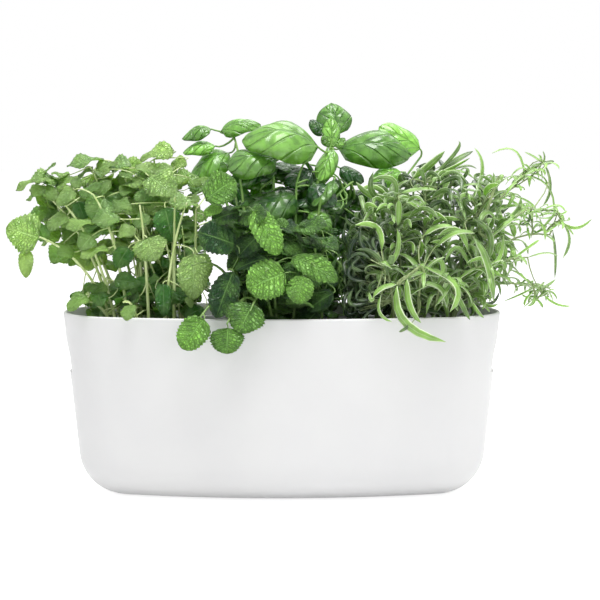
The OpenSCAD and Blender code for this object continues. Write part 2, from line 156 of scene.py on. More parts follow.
def only_verts(geometry):
    """The vertices among some geometry."""
    return [part for part in geometry if isinstance(part, bmesh.types.BMVert)]


def turn_last(shape, geometry, centre, axis, angle, steps):
    """Carry geometry round an axis and return what ends the turn."""
    turned = bmesh.ops.spin(shape, geom=geometry, cent=centre, axis=axis, angle=angle, steps=steps)
    return turned["geom_last"]


def push_last(shape, geometry, step, runs):
    """Draw a vertex straight on in a few runs and return the last one."""
    for _ in range(runs):
        grown = bmesh.ops.extrude_vert_indiv(shape, verts=only_verts(geometry))["verts"]
        bmesh.ops.translate(shape, verts=grown, vec=step / runs)
        geometry = grown
    return geometry


def cup_section(shape, half_l, height, draft, base_r, wall):
    """The wall's section at the right end: up the outside, over the rim and down the inside."""
    out = Vector((math.cos(draft), 0, -math.sin(draft)))
    along = Vector((0, 1, 0))
    corner = Vector((half_l - (height - base_r) * math.tan(draft) - base_r / math.cos(draft), 0, base_r))
    rim = Vector((half_l - wall / 2 * math.tan(draft) - wall / 2 / math.cos(draft), 0, height - wall / 2))
    quarter = math.pi / 2 - draft
    last = [shape.verts.new(corner - Vector((0, 0, base_r)))]
    last = turn_last(shape, last, corner, along, -quarter, base_steps)
    last = push_last(shape, last, rim + wall / 2 * out - corner - base_r * out, wall_steps)
    last = turn_last(shape, last, rim, along, -math.pi, rim_steps)
    last = push_last(shape, last, corner + (base_r - wall) * out - rim + wall / 2 * out, wall_steps)
    turn_last(shape, last, corner, along, quarter, base_steps)


def side_radius(half_l, half_d, end_r):
    """The radius of the oval's long sides, which run smoothly into its ends."""
    bow = half_l - end_r
    return (bow * bow + half_d * half_d - end_r * end_r) / (2 * (half_d - end_r))


def round_oval(shape, half_l, half_d, end_r):
    """Carry the section at the right end once round the oval of two end arcs and two side arcs."""
    bow = half_l - end_r
    side_r = side_radius(half_l, half_d, end_r)
    lean = math.atan2(bow, side_r - half_d)
    up = Vector((0, 0, 1))
    end = Vector((bow, 0, 0))
    side = Vector((0, side_r - half_d, 0))
    last = shape.verts[:] + shape.edges[:]
    for centre, angle, steps in (
            (end, math.pi / 2 - lean, end_steps), (-side, 2 * lean, side_steps),
            (-end, math.pi - 2 * lean, 2 * end_steps),
            (side, 2 * lean, side_steps), (end, math.pi / 2 - lean, end_steps)):
        last = turn_last(shape, last, centre, up, angle, steps)
    bmesh.ops.remove_doubles(shape, verts=shape.verts, dist=1e-5)
    bmesh.ops.holes_fill(shape, edges=[e for e in shape.edges if e.is_boundary], sides=0)
    bmesh.ops.recalc_face_normals(shape, faces=shape.faces)


def arch_cutter():
    """A bar with the windows' outline, long enough to pass through both ends."""
    shape = bmesh.new()
    spring_z = shell_h - window_drop - window_w / 2
    first = shape.verts.new((-2 * shell_half_l, window_w / 2, spring_z))
    arc_end = turn_last(shape, [first], (0, 0, spring_z), (1, 0, 0), math.pi, window_steps)
    lip_drop = Vector((0, 0, window_w / 2 - window_h))
    push_last(shape, arc_end, lip_drop, 1)
    push_last(shape, [first], lip_drop, 1)
    outline = bmesh.ops.contextual_create(shape, geom=shape.verts[:] + shape.edges[:])["faces"]
    bar = bmesh.ops.extrude_face_region(shape, geom=outline)["geom"]
    bmesh.ops.translate(shape, verts=only_verts(bar), vec=(4 * shell_half_l, 0, 0))
    bmesh.ops.recalc_face_normals(shape, faces=shape.faces)
    return shape


shell_shape = bmesh.new()
cup_section(shell_shape, shell_half_l, shell_h, shell_draft, shell_base_r, shell_wall)
round_oval(shell_shape, shell_half_l, shell_half_d, shell_end_r)
shell = make_piece("shell_moulding", shell_shape, "shell", moulded_plastic(
    "matt_white_plastic", shell_white, shell_shade, roughness=0.46, grain=1400, relief=0.12))
cutter = make_piece("window_cutter", arch_cutter(), "shell")
windows = shell.modifiers.new("windows", "BOOLEAN")
windows.object = cutter
windows.solver = "EXACT"
bpy.context.view_layer.update()
shell.data = bpy.data.meshes.new_from_object(shell.evaluated_get(bpy.context.evaluated_depsgraph_get()))
shell.modifiers.clear()
bpy.data.objects.remove(cutter)
lips = shell.modifiers.new("window_lips", "BEVEL")
lips.limit_method = "ANGLE"
lips.angle_limit = math.radians(50)
lips.width = window_lip_r
lips.segments = 3
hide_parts("planter_shell")


# Inner tray: a plain liner in pale grey plastic that stands in the shell on hollow legs, so that the
# pots stay above the water. The moulding from the source is kept, and only gets its finish here.
tray_grey, tray_shade = (0.72, 0.73, 0.73, 1), (0.66, 0.67, 0.67, 1)
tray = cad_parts["inner_tray"]
tray.data.materials.clear()
tray.data.materials.append(moulded_plastic(
    "grey_tray_plastic", tray_grey, tray_shade, roughness=0.5, grain=500, relief=0.2))


# Capillary felt: a dark needle-punched felt cut to the tray's floor, with a place cut out for the head
# of each wick. It lies loose on the tray and carries water to the pots.
felt_edge_r = 0.5 * mm
felt_dark, felt_light = (0.030, 0.032, 0.035, 1), (0.11, 0.115, 0.12, 1)


def felt_finish(name, dark, light):
    """Felt: short fibres lying every way, with paler ones among them."""
    finish, tree, surface = new_finish(name)
    place = add_node(tree, "TexCoord").outputs["Object"]
    lumps = add_node(tree, "TexNoise", {"Vector": place, "Scale": 300.0, "Detail": 4.0}).outputs["Fac"]
    bent = add_node(tree, "TexNoise", {"Vector": place, "Scale": 900.0, "Distortion": 3.0}).outputs["Fac"]
    tree.links.new(mix_colours(tree, map_range(tree, bent, 0.4, 0.7, 0, 1), dark, light),
                   surface.inputs["Base Color"])
    tree.links.new(map_range(tree, lumps, 0.3, 0.7, 0.85, 1.0), surface.inputs["Roughness"])
    surface.inputs["Sheen Weight"].default_value = 0.3
    height = calculate(tree, "ADD", lumps, bent)
    bump = add_node(tree, "Bump", {"Height": height, "Strength": 0.7, "Distance": 0.0004})
    tree.links.new(bump.outputs[0], surface.inputs["Normal"])
    return finish


felt_look = felt_finish("grey_felt", felt_dark, felt_light)
felt_shape = bmesh.new()
felt_shape.from_mesh(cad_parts["capillary_felt"].data)
bmesh.ops.remove_doubles(felt_shape, verts=felt_shape.verts, dist=1e-6)
bmesh.ops.dissolve_limit(
    felt_shape, angle_limit=math.radians(2), verts=felt_shape.verts, edges=felt_shape.edges)
felt_rims = [edge for edge in felt_shape.edges if edge.calc_face_angle(0) > math.radians(60)]
bmesh.ops.bevel(felt_shape, geom=felt_rims, offset=felt_edge_r, offset_type="OFFSET", affect="EDGES",
                segments=3, profile=0.5, material=-1)
felt_low, felt_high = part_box("capillary_felt")
felt_area = sum(face.calc_area() for face in felt_shape.faces if face.normal.z > 0.9)
felt = make_piece("felt_mat", felt_shape, "tray", felt_look)
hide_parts("capillary_felt")


# Wicks: a strip of the same felt for each pot, folded double. The fold hangs through the tray's slot
# into the water, and the two ends lie flat under the pot, turned under to the felt's thickness.
wick_w, wick_head = 20 * mm, 32 * mm
wick_ply = (felt_high.z - felt_low.z) / 2
wick_press = 0.94
run_steps, turn_steps, drop_steps, wick_strips = 3, 6, 8, 4


def wick_path(shape, middle, low_z, floor_z):
    """The strip's line from one end to the other, seen from the edge, and its length."""
    half = wick_ply / 2
    front = -wick_w / 2
    run = Vector((wick_head / 2 - half - 3 * half, 0, 0))
    drop = Vector((0, 0, floor_z - low_z))
    lying_z, turned_z = floor_z + half, floor_z + 2 * half

    def turn(last, x, z, angle):
        return turn_last(shape, last, (x, front, z), (0, 1, 0), angle, turn_steps)

    last = [shape.verts.new((middle - 3 * half, front, lying_z))]
    last = push_last(shape, last, -run, run_steps)
    last = turn(last, middle - wick_head / 2 + half, turned_z, math.pi)
    last = push_last(shape, last, run, run_steps)
    last = turn(last, middle - 3 * half, lying_z, math.pi / 2)
    last = push_last(shape, last, -drop, drop_steps)
    last = turn(last, middle, low_z + half, -math.pi)
    last = push_last(shape, last, drop, drop_steps)
    last = turn(last, middle + 3 * half, lying_z, math.pi / 2)
    last = push_last(shape, last, run, run_steps)
    last = turn(last, middle + wick_head / 2 - half, turned_z, math.pi)
    push_last(shape, last, -run, run_steps)
    return sum(edge.calc_length() for edge in shape.edges)


for place in ("left", "centre", "right"):
    wick_low, wick_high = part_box("wick_" + place)
    wick_shape = bmesh.new()
    wick_length = wick_path(wick_shape, (wick_low.x + wick_high.x) / 2, wick_low.z, felt_low.z)
    widening = wick_shape.edges[:]
    for _ in range(wick_strips):
        grown = bmesh.ops.extrude_edge_only(wick_shape, edges=widening)["geom"]
        bmesh.ops.translate(wick_shape, verts=only_verts(grown), vec=(0, wick_w / wick_strips, 0))
        widening = [edge for edge in grown if isinstance(edge, bmesh.types.BMEdge)
                    and all(abs(v.co.y - edge.verts[0].co.y) < 1e-6 for v in edge.verts)]
    bmesh.ops.recalc_face_normals(wick_shape, faces=wick_shape.faces)
    wick = make_piece("wick_strip_" + place, wick_shape, "tray", felt_look)
    ply = wick.modifiers.new("felt_ply", "SOLIDIFY")
    ply.thickness = wick_press * wick_ply
    ply.offset = 0
    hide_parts("wick_" + place)


# Nursery pots: thin black pots as herbs are sold in, drawn over a form from sheet plastic. They stand
# on the felt in the tray, and their finish is dull, with scuffs from handling.
pot_dark, pot_scuffed = (0.012, 0.013, 0.013, 1), (0.035, 0.036, 0.034, 1)
pot_black = moulded_plastic(
    "black_pot_plastic", pot_dark, pot_scuffed, roughness=0.5, grain=260, relief=0.4)
for place in ("left", "centre", "right"):
    pot_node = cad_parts["nursery_pot_" + place]
    pot_node.data.materials.clear()
    pot_node.data.materials.append(pot_black)


# Soil: the root ball that fills each pot, dark peat held together by roots. It takes the pot's cone as
# the herb grows, and bark crumbs lie loose on its uneven top.
soil_base_r = 33.6 * mm
soil_segments, soil_rings, soil_uneven = 44, 9, 1.5 * mm
crumb_count, crumb_margin, crumb_sink = 150, 3 * mm, 0.7 * mm
crumb_size, crumb_long, crumb_wide, crumb_high = (0.6, 2.0), (0.8, 1.8), (0.6, 1), (0.4, 0.7)
peat_dark, peat_brown, peat_damp = (0.012, 0.008, 0.006, 1), (0.09, 0.055, 0.03, 1), (0.02, 0.014, 0.01, 1)


def soil_finish(name):
    """Peat: nearly black where damp, browner on the crumbs, rough all over."""
    finish, tree, surface = new_finish(name)
    place = add_node(tree, "TexCoord").outputs["Object"]
    lumps = add_node(tree, "TexNoise", {"Vector": place, "Scale": 220.0, "Detail": 6.0}).outputs["Fac"]
    damp = add_node(tree, "TexNoise", {"Vector": place, "Scale": 40.0, "Detail": 2.0}).outputs["Fac"]
    brown = mix_colours(tree, map_range(tree, lumps, 0.35, 0.7, 0, 1), peat_dark, peat_brown)
    tree.links.new(mix_colours(tree, map_range(tree, damp, 0.4, 0.6, 0, 0.7), brown, peat_damp),
                   surface.inputs["Base Color"])
    tree.links.new(map_range(tree, damp, 0.4, 0.6, 0.7, 0.95), surface.inputs["Roughness"])
    bump = add_node(tree, "Bump", {"Height": lumps, "Strength": 1.0, "Distance": 0.0015})
    tree.links.new(bump.outputs[0], surface.inputs["Normal"])
    return finish


def soil_plug(low, high, seed):
    """A cone of soil with an uneven top, and crumbs on it."""
    shape = bmesh.new()
    top_r = (high.x - low.x) / 2
    middle = (low + high) / 2
    bmesh.ops.create_cone(
        shape, cap_ends=True, segments=soil_segments, radius1=soil_base_r, radius2=top_r,
        depth=high.z - low.z, matrix=Matrix.Translation(middle))
    top = max(shape.faces, key=lambda face: face.calc_center_median().z)
    for _ in range(soil_rings):
        bmesh.ops.inset_region(shape, faces=[top], thickness=top_r / (soil_rings + 1), use_even_offset=True)
    for vert in shape.verts:
        if vert.co.z > high.z - 0.1 * mm:
            vert.co.z += soil_uneven * (noise.noise(vert.co * 120) - 0.6)
    draw = random.Random(seed)
    for _ in range(crumb_count):
        away = (top_r - crumb_margin) * math.sqrt(draw.random())
        bearing = draw.uniform(0, 2 * math.pi)
        size = draw.uniform(*crumb_size) * mm
        spot = Vector((middle.x + away * math.cos(bearing), away * math.sin(bearing), high.z - crumb_sink))
        lie = Matrix.Translation(spot) @ Matrix.Rotation(bearing, 4, "Z") @ Matrix.Diagonal((
            draw.uniform(*crumb_long), draw.uniform(*crumb_wide), draw.uniform(*crumb_high), 1))
        bmesh.ops.create_icosphere(shape, subdivisions=1, radius=size, matrix=lie)
    return shape


soil_look = soil_finish("peat")
pot_bodies = {"left": "lemon_balm_pot", "centre": "basil_pot", "right": "rosemary_pot"}
for seed, (place, body) in enumerate(pot_bodies.items()):
    soil = make_piece("peat_" + place, soil_plug(*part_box("soil_" + place), seed), body, soil_look)
    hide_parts("soil_" + place)


# Lemon balm: the left pot. Thin pale stems stand close together and carry crossed pairs of soft,
# scalloped leaves with a net of sunken veins. Each leaf sits on a short stalk.
# Stems: base x, base y, tip x, tip y, tip z and height of the bend, in millimetres from the middle of the
# soil's top.
balm_stems = (
    (-36, -8, -106, -14, 84, 70),
    (-38, 6, -104, 8, 122, 90),
    (-34, -18, -80, -22, 112, 80),
    (-30, 14, -60, 16, 138, 100),
    (-24, -22, -52, -28, 116, 85),
    (-18, 20, -34, 24, 138, 100),
    (-8, -30, -14, -38, 108, 80),
    (0, 26, -8, 28, 144, 100),
    (10, 2, 8, 0, 132, 92),
    (12, -28, 14, -36, 114, 80),
    (28, -12, 30, -22, 104, 75),
    (-40, -16, -66, -30, 30, 34),
    (-16, -40, -26, -56, 32, 36),
    (-22, 34, -58, 40, 116, 85),
    (-38, 22, -86, 36, 102, 80),
    (4, -40, 24, -40, 110, 80),
)
# Leaves that show plainly: foot and tip in the picture's pixels, depth of the foot and how much deeper
# the tip lies in millimetres, width in pixels, lean toward the viewer in degrees, arch and tone, which
# holds painted light and shade, light for backlit leaves and dark for shaded ones, as well as own tone.
balm_seen = (
    (39, 238, 6, 228, -16, -6, 38, 70, 0.05, 0.75),
    (46, 241, 36, 222, -8, 2, 14, 60, 0.05, 0.25),
    (26, 250, 26, 278, -18, -4, 15, 75, 0.06, 0.95),
    (35, 180, 16, 191, 8, 0, 9, 30, 0.06, 0.9),
    (36, 184, 56, 163, 10, 0, 7, 15, 0.04, 0.5),
    (43, 186, 32, 197, 0, -6, 14, 55, 0.05, 0.7),
    (43, 187, 57, 200, 2, -6, 14, 60, 0.05, 0.75),
    (44, 184, 61, 181, 6, 6, 10, 30, 0.05, 0.2),
    (74, 190, 57, 206, -24, -8, 15, 55, 0.06, 0.7),
    (74, 188, 80, 178, -20, 6, 10, 30, 0.05, 0.6),
    (104, 160, 67, 167, 14, -4, 12, 18, 0.06, 0.55),
    (131, 167, 105, 167, 18, 4, 13, 20, 0.09, 0.5),
    (79, 178, 93, 167, 16, 4, 8, 20, 0.05, 0.6),
    (174, 151, 140, 161, 28, 0, 16, 35, 0.1, 0.95),
    (186, 160, 171, 168, 30, 0, 14, 60, 0.05, 0.9),
    (149, 176, 175, 197, -2, -10, 30, 55, 0.06, 0.8),
    (198, 205, 168, 203, -30, -6, 15, 30, 0.08, 0.75),
    (196, 203, 195, 194, -30, 4, 8, 70, 0.03, 0.9),
    (165, 208, 173, 242, -20, -4, 28, 80, 0.05, 0.0),
    (147, 238, 156, 261, -38, -8, 33, 80, 0.03, 0.85),
    (104, 198, 93, 221, -20, -8, 30, 60, 0.05, 0.45),
    (131, 204, 112, 209, -14, -4, 17, 40, 0.05, 0.6),
    (143, 206, 147, 187, -6, 4, 20, 55, 0.06, 0.4),
    (119, 192, 135, 190, 0, 4, 11, 40, 0.05, 0.6),
    (80, 197, 102, 184, -6, 4, 12, 30, 0.05, 0.5),
    (98, 196, 110, 180, 0, 6, 14, 45, 0.05, 0.65),
    (78, 202, 85, 220, 4, -4, 16, 70, 0.05, 0.05),
    (67, 215, 48, 230, -26, -6, 16, 50, 0.05, 0.65),
    (94, 222, 66, 229, -30, -6, 13, 28, 0.06, 0.8),
    (120, 219, 91, 222, -34, -4, 17, 38, 0.07, 0.55),
    (119, 231, 136, 233, -38, -4, 15, 55, 0.05, 0.9),
    (136, 228, 149, 215, -22, 4, 16, 50, 0.05, 0.5),
    (92, 236, 80, 250, -38, -6, 20, 60, 0.05, 0.55),
    (74, 252, 57, 253, -30, -4, 14, 55, 0.06, 0.45),
    (108, 248, 80, 258, -42, -6, 11, 25, 0.05, 0.85),
    (128, 248, 116, 268, -26, -6, 20, 75, 0.05, 0.1),
    (194, 254, 194, 300, -42, -6, 31, 80, 0.05, 0.9),
    (198, 254, 208, 277, -34, 0, 19, 75, 0.05, 0.8),
    (188, 296, 192, 308, -44, -2, 8, 75, 0.03, 0.8),
    (86, 295, 68, 311, -46, -10, 16, 50, 0.06, 0.6),
    (107, 286, 91, 293, -20, -6, 13, 50, 0.05, 0.45),
    (130, 305, 127, 321, -64, -10, 15, 60, 0.06, 0.6),
    (163, 284, 164, 317, -44, -4, 16, 80, 0.05, 0.05),
)
soil_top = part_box("soil_left")[1].z
pot_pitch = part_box("soil_right")[1].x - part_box("soil_centre")[1].x
stem_reach = 39.6 * mm
bend_share = 0.3
pixel_size = stand_off / focal_px
# Each pot lifts straight up, so its leaves keep to its own part of the plan: the middle pot's may
# spread sideways only in a strip in front of the pots and in one behind them.
strip_y, zone_gap = 49.5 * mm, 0.8 * mm
front_strip, back_strip = (-92 * mm, 68 * mm), (-92 * mm, 126 * mm)
rim_over, rim_within = 3 * mm, -14 * mm
longest_stalk = 45 * mm
# Leaves spring from a stem's upper two thirds. A stem thins to half at its tip, and a stalk less.
spots_from, spots_in_all = 8, 24
stem_parts, stem_taper = 12, 0.5
stalk_parts, stalk_taper, stalk_bow = 4, 0.7, 0.4
# A blade never gets narrower than this share of its width, and its edge waves this often.
least_reach, wave_rate = 0.04, 7
# Fill leaves spread evenly over an outline, rise or droop, tip sideways and lean toward the viewer.
even_x, even_y = 0.7549, 0.5698
fill_flat, fill_rise, fill_size = 0.6, (-0.8, 0.3), (0.6, 1.0)
fill_tip, fill_lean, fill_arch, fill_hook = (-0.5, 0.5), (0.2, 1.6), 0.12, -0.2


def scatter(i, k):
    """Repeatable scatter between -1 and 1 from two counting numbers, as in the part's source."""
    wave = math.sin(math.radians(i * 47.3 + k * 113.9)) * 977.7
    return 2 * (wave - math.floor(wave)) - 1


def on_curve(a, b, c, share):
    """A point on the curve from a to c that bends toward b, and the way the curve heads there."""
    first, second = a.lerp(b, share), b.lerp(c, share)
    return first.lerp(second, share), (second - first).normalized()


def in_zone(pot, point):
    """Whether a point of a herb keeps to its pot's part of the plan."""
    low, high = front_strip if point.y < 0 else back_strip
    in_strip = abs(point.y) > strip_y
    if pot == 0 and in_strip:
        return low + zone_gap < point.x < high - zone_gap
    if pot == 0:
        return abs(point.x) < pot_pitch / 2 - zone_gap
    side = high if pot > 0 else -low
    return pot * point.x > (side if in_strip else pot_pitch / 2) + zone_gap


def clear_of_rim(point):
    """Whether a point is above the rim or well inside the tray."""
    bow = shell_half_l - shell_end_r
    side_r = side_radius(shell_half_l, shell_half_d, shell_end_r)
    flat = Vector((abs(point.x), abs(point.y)))
    away = (flat - Vector((0, shell_half_d - side_r))).length - side_r
    if flat.x > bow and flat.y < (flat.x - bow) * (side_r - shell_half_d) / bow:
        away = (flat - Vector((bow, 0))).length - shell_end_r
    return point.z > shell_h + rim_over or away < rim_within


class Cut:
    """How one herb's leaves are cut and shaped. Tooth, fold, cup and wave are shares of the half width,
    slant is how far the side veins run forward, and follow how far the blade turns with its bend."""

    def __init__(self, rows, columns, early, full, tooth=0.0, sweep=0.3, fold=0.0, cup=0.0,
                 quilt=0.0, wave=0.0, veins=7, slant=0.16, follow=0.2):
        self.rows, self.columns, self.early, self.full = rows, columns, early, full
        self.tooth, self.sweep, self.fold, self.cup = tooth, sweep, fold, cup
        self.quilt, self.wave, self.veins, self.slant, self.follow = quilt, wave, veins, slant, follow


class Herb:
    """One plant: its stems, its leaves in one bmesh, and the runs of its stalks and branches."""

    def __init__(self, node, pot, stem_rows, cut, seed):
        self.node, self.pot, self.cut = node, pot, cut
        self.low, self.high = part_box(node)
        self.stems = [self.stem(row) for row in stem_rows]
        leafy = range(spots_from, spots_in_all + 1)
        self.spots = [on_curve(*stem, k / spots_in_all)[0] for stem in self.stems for k in leafy]
        self.runs = []
        self.draw = random.Random(seed)
        self.leaves = bmesh.new()
        self.leaves.loops.layers.uv.new("blade")
        self.tone_and_shade = self.leaves.verts.layers.float.new("tone_and_shade")

    def stem(self, row):
        """Base, bend and tip of one stem."""
        foot = Vector((self.pot * pot_pitch, 0, soil_top))
        base = Vector((row[0], row[1], 0)) * mm
        base *= min(1, stem_reach / max(base.length, mm))
        tip = Vector(row[2:5]) * mm
        bend = base.lerp(tip, bend_share)
        bend.z = row[5] * mm
        return foot + base, foot + bend, foot + tip

    def nearest(self, point, run=Vector((0, 0, 1))):
        """The place on the stems from which something grows: close to this point, and behind its run."""
        ahead = run.normalized()

        def cost(place):
            gap = point - place
            return gap.length + 2 * max(0, 0.35 * gap.length - gap.dot(ahead))
        return min(self.spots, key=cost)

    def add_stalk(self, foot, run, stalk_r):
        """A stalk from the nearest stem that runs on into a leaf."""
        start = self.nearest(foot, run)
        bend = foot - run.normalized() * stalk_bow * (foot - start).length
        self.runs.append((start, bend, foot, stalk_r, stalk_taper * stalk_r))

    def add_branch(self, depth, stalk_r, *pixels):
        """A side branch from the nearest stem through points that show in the picture."""
        points = [seen_at(px, py, depth * mm) for px, py in pixels]
        points.insert(0, self.nearest(points[0]))
        for a, c in zip(points, points[1:]):
            self.runs.append((a, a.lerp(c, 0.5), c, stalk_r, stalk_r))

    def grow(self, foot, bend, tip, face, half, tone_and_shade, phase):
        """Lay a grid along the bent line from foot to tip, with its upper side toward face."""
        cut = self.cut
        length = (tip - foot).length
        straight = (tip - foot).normalized()
        grid = bmesh.ops.create_grid(
            self.leaves, x_segments=cut.columns, y_segments=cut.rows, size=1, calc_uvs=True)["verts"]
        for vert in grid:
            u, v = vert.co.x, (vert.co.y + 1) / 2
            row = round(v * cut.rows)
            reach = half * max(math.sin(math.pi * v ** cut.early) ** cut.full, least_reach)
            if abs(u) > 0.99 and 0 < row < cut.rows:
                reach *= 1 + cut.tooth * (row % 2 - 0.5)
            middle, heading = on_curve(foot, bend, tip, min(v + cut.sweep * abs(u) * v * (1 - v), 1))
            lift = reach * (cut.fold * abs(u) - cut.cup * u * u)
            vein = math.sin(math.pi * (v - cut.slant * abs(u)) * cut.veins)
            lift += cut.quilt * length * abs(vein) * math.sin(math.pi * abs(u))
            lift += cut.wave * reach * u * abs(u) * math.sin(wave_rate * v + phase)
            course = straight.lerp(heading, cut.follow)
            across = course.cross(face).normalized()
            vert.co = middle + across * u * reach + across.cross(course) * lift
            # Every vertex gets the leaf's tone, which holds painted light and shade as well as its own tone.
            vert[self.tone_and_shade] = tone_and_shade

    def add_seen(self, rows, stalk_r):
        """Leaves placed by where they show in the picture."""
        for n, (foot_px, foot_py, tip_px, tip_py, depth, deeper, wide, lean, arch, tone_and_shade) in enumerate(rows):
            foot = seen_at(foot_px, foot_py, depth * mm)
            tip = seen_at(tip_px, tip_py, (depth + deeper) * mm)
            face = Vector((0.2 * scatter(n, 7), -math.sin(math.radians(lean)), math.cos(math.radians(lean))))
            bend = foot.lerp(tip, 0.5) + face * 2 * arch * (tip - foot).length
            across = (tip - foot).cross(face).normalized()
            run = Vector(((tip - foot).dot(rightward), (tip - foot).dot(upward))).normalized()
            shown = abs(run.cross(Vector((across.dot(rightward), across.dot(upward)))))
            self.add_stalk(foot, bend - foot, stalk_r)
            self.grow(foot, bend, tip, face, wide / 2 * pixel_size / max(shown, 0.4), tone_and_shade, n)

    def fits(self, *points):
        """Whether points keep to the pot's part of the plan, clear of the rim and inside the source's box."""
        return all(in_zone(self.pot, p) and clear_of_rim(p) and
                   all(a < b < c for a, b, c in zip(self.low, p, self.high)) for p in points)

    def places(self, outline, tries, near, far):
        """Points spread evenly over an outline seen in the picture, at chance depths in millimetres."""
        xs, ys = zip(*outline)
        for n in range(tries):
            px = min(xs) + (max(xs) - min(xs)) * (even_x * n % 1)
            py = min(ys) + (max(ys) - min(ys)) * (even_y * n % 1)
            sides = zip(outline, outline[1:] + outline[:1])
            crossed = [a for a, b in sides if (a[1] > py) != (b[1] > py)
                       and px < a[0] + (b[0] - a[0]) * (py - a[1]) / (b[1] - a[1])]
            depth = self.draw.uniform(near, far) * mm
            if len(crossed) % 2:
                yield seen_at(px, py, depth)

    def add_fills(self, rows):
        """Leaves that close the mass behind the plain ones, turned every way."""
        for outline, tries, near, far, longest, width, stalk_r, darkest, lightest in rows:
            for n, foot in enumerate(self.places(outline, tries, near, far)):
                bearing = self.draw.uniform(0, 2 * math.pi)
                rise = self.draw.uniform(*fill_rise)
                way = Vector((math.cos(bearing), fill_flat * math.sin(bearing), rise)).normalized()
                size = longest * mm * self.draw.uniform(*fill_size)
                tip = foot + way * size
                face = Vector((self.draw.uniform(*fill_tip), -self.draw.uniform(*fill_lean), 1)).normalized()
                bend = foot.lerp(tip, 0.5) + face * fill_arch * size
                aside = way.cross(face).normalized() * width / 2 * size
                # The row's range of tone paints shade: deep and low outlines get dark leaves.
                tone_and_shade = self.draw.uniform(darkest, lightest)
                reach = foot - self.nearest(foot, bend - foot)
                hooked = reach.dot(bend - foot) <= fill_hook * reach.length * size
                grows = reach.length < longest_stalk and not hooked
                if grows and self.fits(foot, bend + aside, bend - aside, tip):
                    self.add_stalk(foot, bend - foot, stalk_r * mm)
                    self.grow(foot, bend, tip, face, width / 2 * size, tone_and_shade, n)

    def set_on_pot(self, body, upper, under, bark, stem_r, leaf_t):
        """Leaves become one piece of thin closed blades, stems and stalks another, both on the pot."""
        node = self.node
        leaves = make_piece(node + "_leaves", self.leaves, body, upper, under)
        thick = leaves.modifiers.new("leaf_thickness", "SOLIDIFY")
        thick.thickness = leaf_t
        thick.offset = -1
        thick.material_offset = 1
        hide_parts(node)
        curve = bpy.data.curves.new(node + "_stems", "CURVE")
        curve.dimensions = "3D"
        curve.bevel_depth = 1.0
        curve.bevel_resolution = 1
        curve.use_fill_caps = True
        stems = [(*stem, stem_r, stem_taper * stem_r) for stem in self.stems]
        for steps, runs in ((stem_parts, stems), (stalk_parts, self.runs)):
            for a, b, c, first_r, last_r in runs:
                spline = curve.splines.new("POLY")
                spline.points.add(steps)
                for k, point in enumerate(spline.points):
                    point.co = (*on_curve(a, b, c, k / steps)[0], 1)
                    point.radius = first_r + (last_r - first_r) * k / steps
        curve.materials.append(bark)
        piece = bpy.data.objects.new(node + "_stems", curve)
        bpy.context.scene.collection.objects.link(piece)
        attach(piece, body)
        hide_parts(node)


def vein_group():
    """A leaf's veins from its own map: a midrib, side veins along the rows and a net between them."""
    group = bpy.data.node_groups.new("leaf_veins", "ShaderNodeTree")
    for name in ("Side veins", "Net", "Slant"):
        group.interface.new_socket(name, in_out="INPUT", socket_type="NodeSocketFloat")
    for name in ("Midrib", "Grooves", "Rim", "Relief"):
        group.interface.new_socket(name, in_out="OUTPUT", socket_type="NodeSocketFloat")
    given = group.nodes.new("NodeGroupInput")
    blade_map = add_node(group, "UVMap", uv_map="blade").outputs[0]
    place = add_node(group, "SeparateXYZ", {0: blade_map})
    across = calculate(group, "MULTIPLY", calculate(
        group, "ABSOLUTE", calculate(group, "SUBTRACT", place.outputs[0], 0.5)), 2.0)
    midrib = map_range(group, across, 0.01, 0.08, 1, 0)
    forward = calculate(group, "MULTIPLY", across, given.outputs[2])
    along = calculate(group, "SUBTRACT", place.outputs[1], forward)
    phase = calculate(group, "FRACT", calculate(group, "MULTIPLY", along, given.outputs[0]))
    ridge = calculate(group, "MULTIPLY", calculate(
        group, "ABSOLUTE", calculate(group, "SUBTRACT", phase, 0.5)), 2.0)
    side = map_range(group, ridge, 0.72, 1.0, 0, 1)
    stretched = add_node(
        group, "VectorMath", {0: blade_map, 1: (1.0, 1.4, 1.0)}, operation="MULTIPLY").outputs[0]
    cells = add_node(group, "TexVoronoi", {"Vector": stretched, "Scale": given.outputs[1]},
                     feature="DISTANCE_TO_EDGE").outputs["Distance"]
    net = map_range(group, cells, 0.0, 0.22, 0.7, 0)
    grooves = calculate(group, "MAXIMUM", side, net)
    rim = map_range(group, across, 0.7, 0.95, 0, 1)
    relief = calculate(group, "SUBTRACT", 1.0, calculate(group, "MAXIMUM", grooves, midrib))
    out = group.nodes.new("NodeGroupOutput")
    for socket, value in zip(out.inputs, (midrib, grooves, rim, relief)):
        group.links.new(value, socket)
    return group


leaf_veins = vein_group()


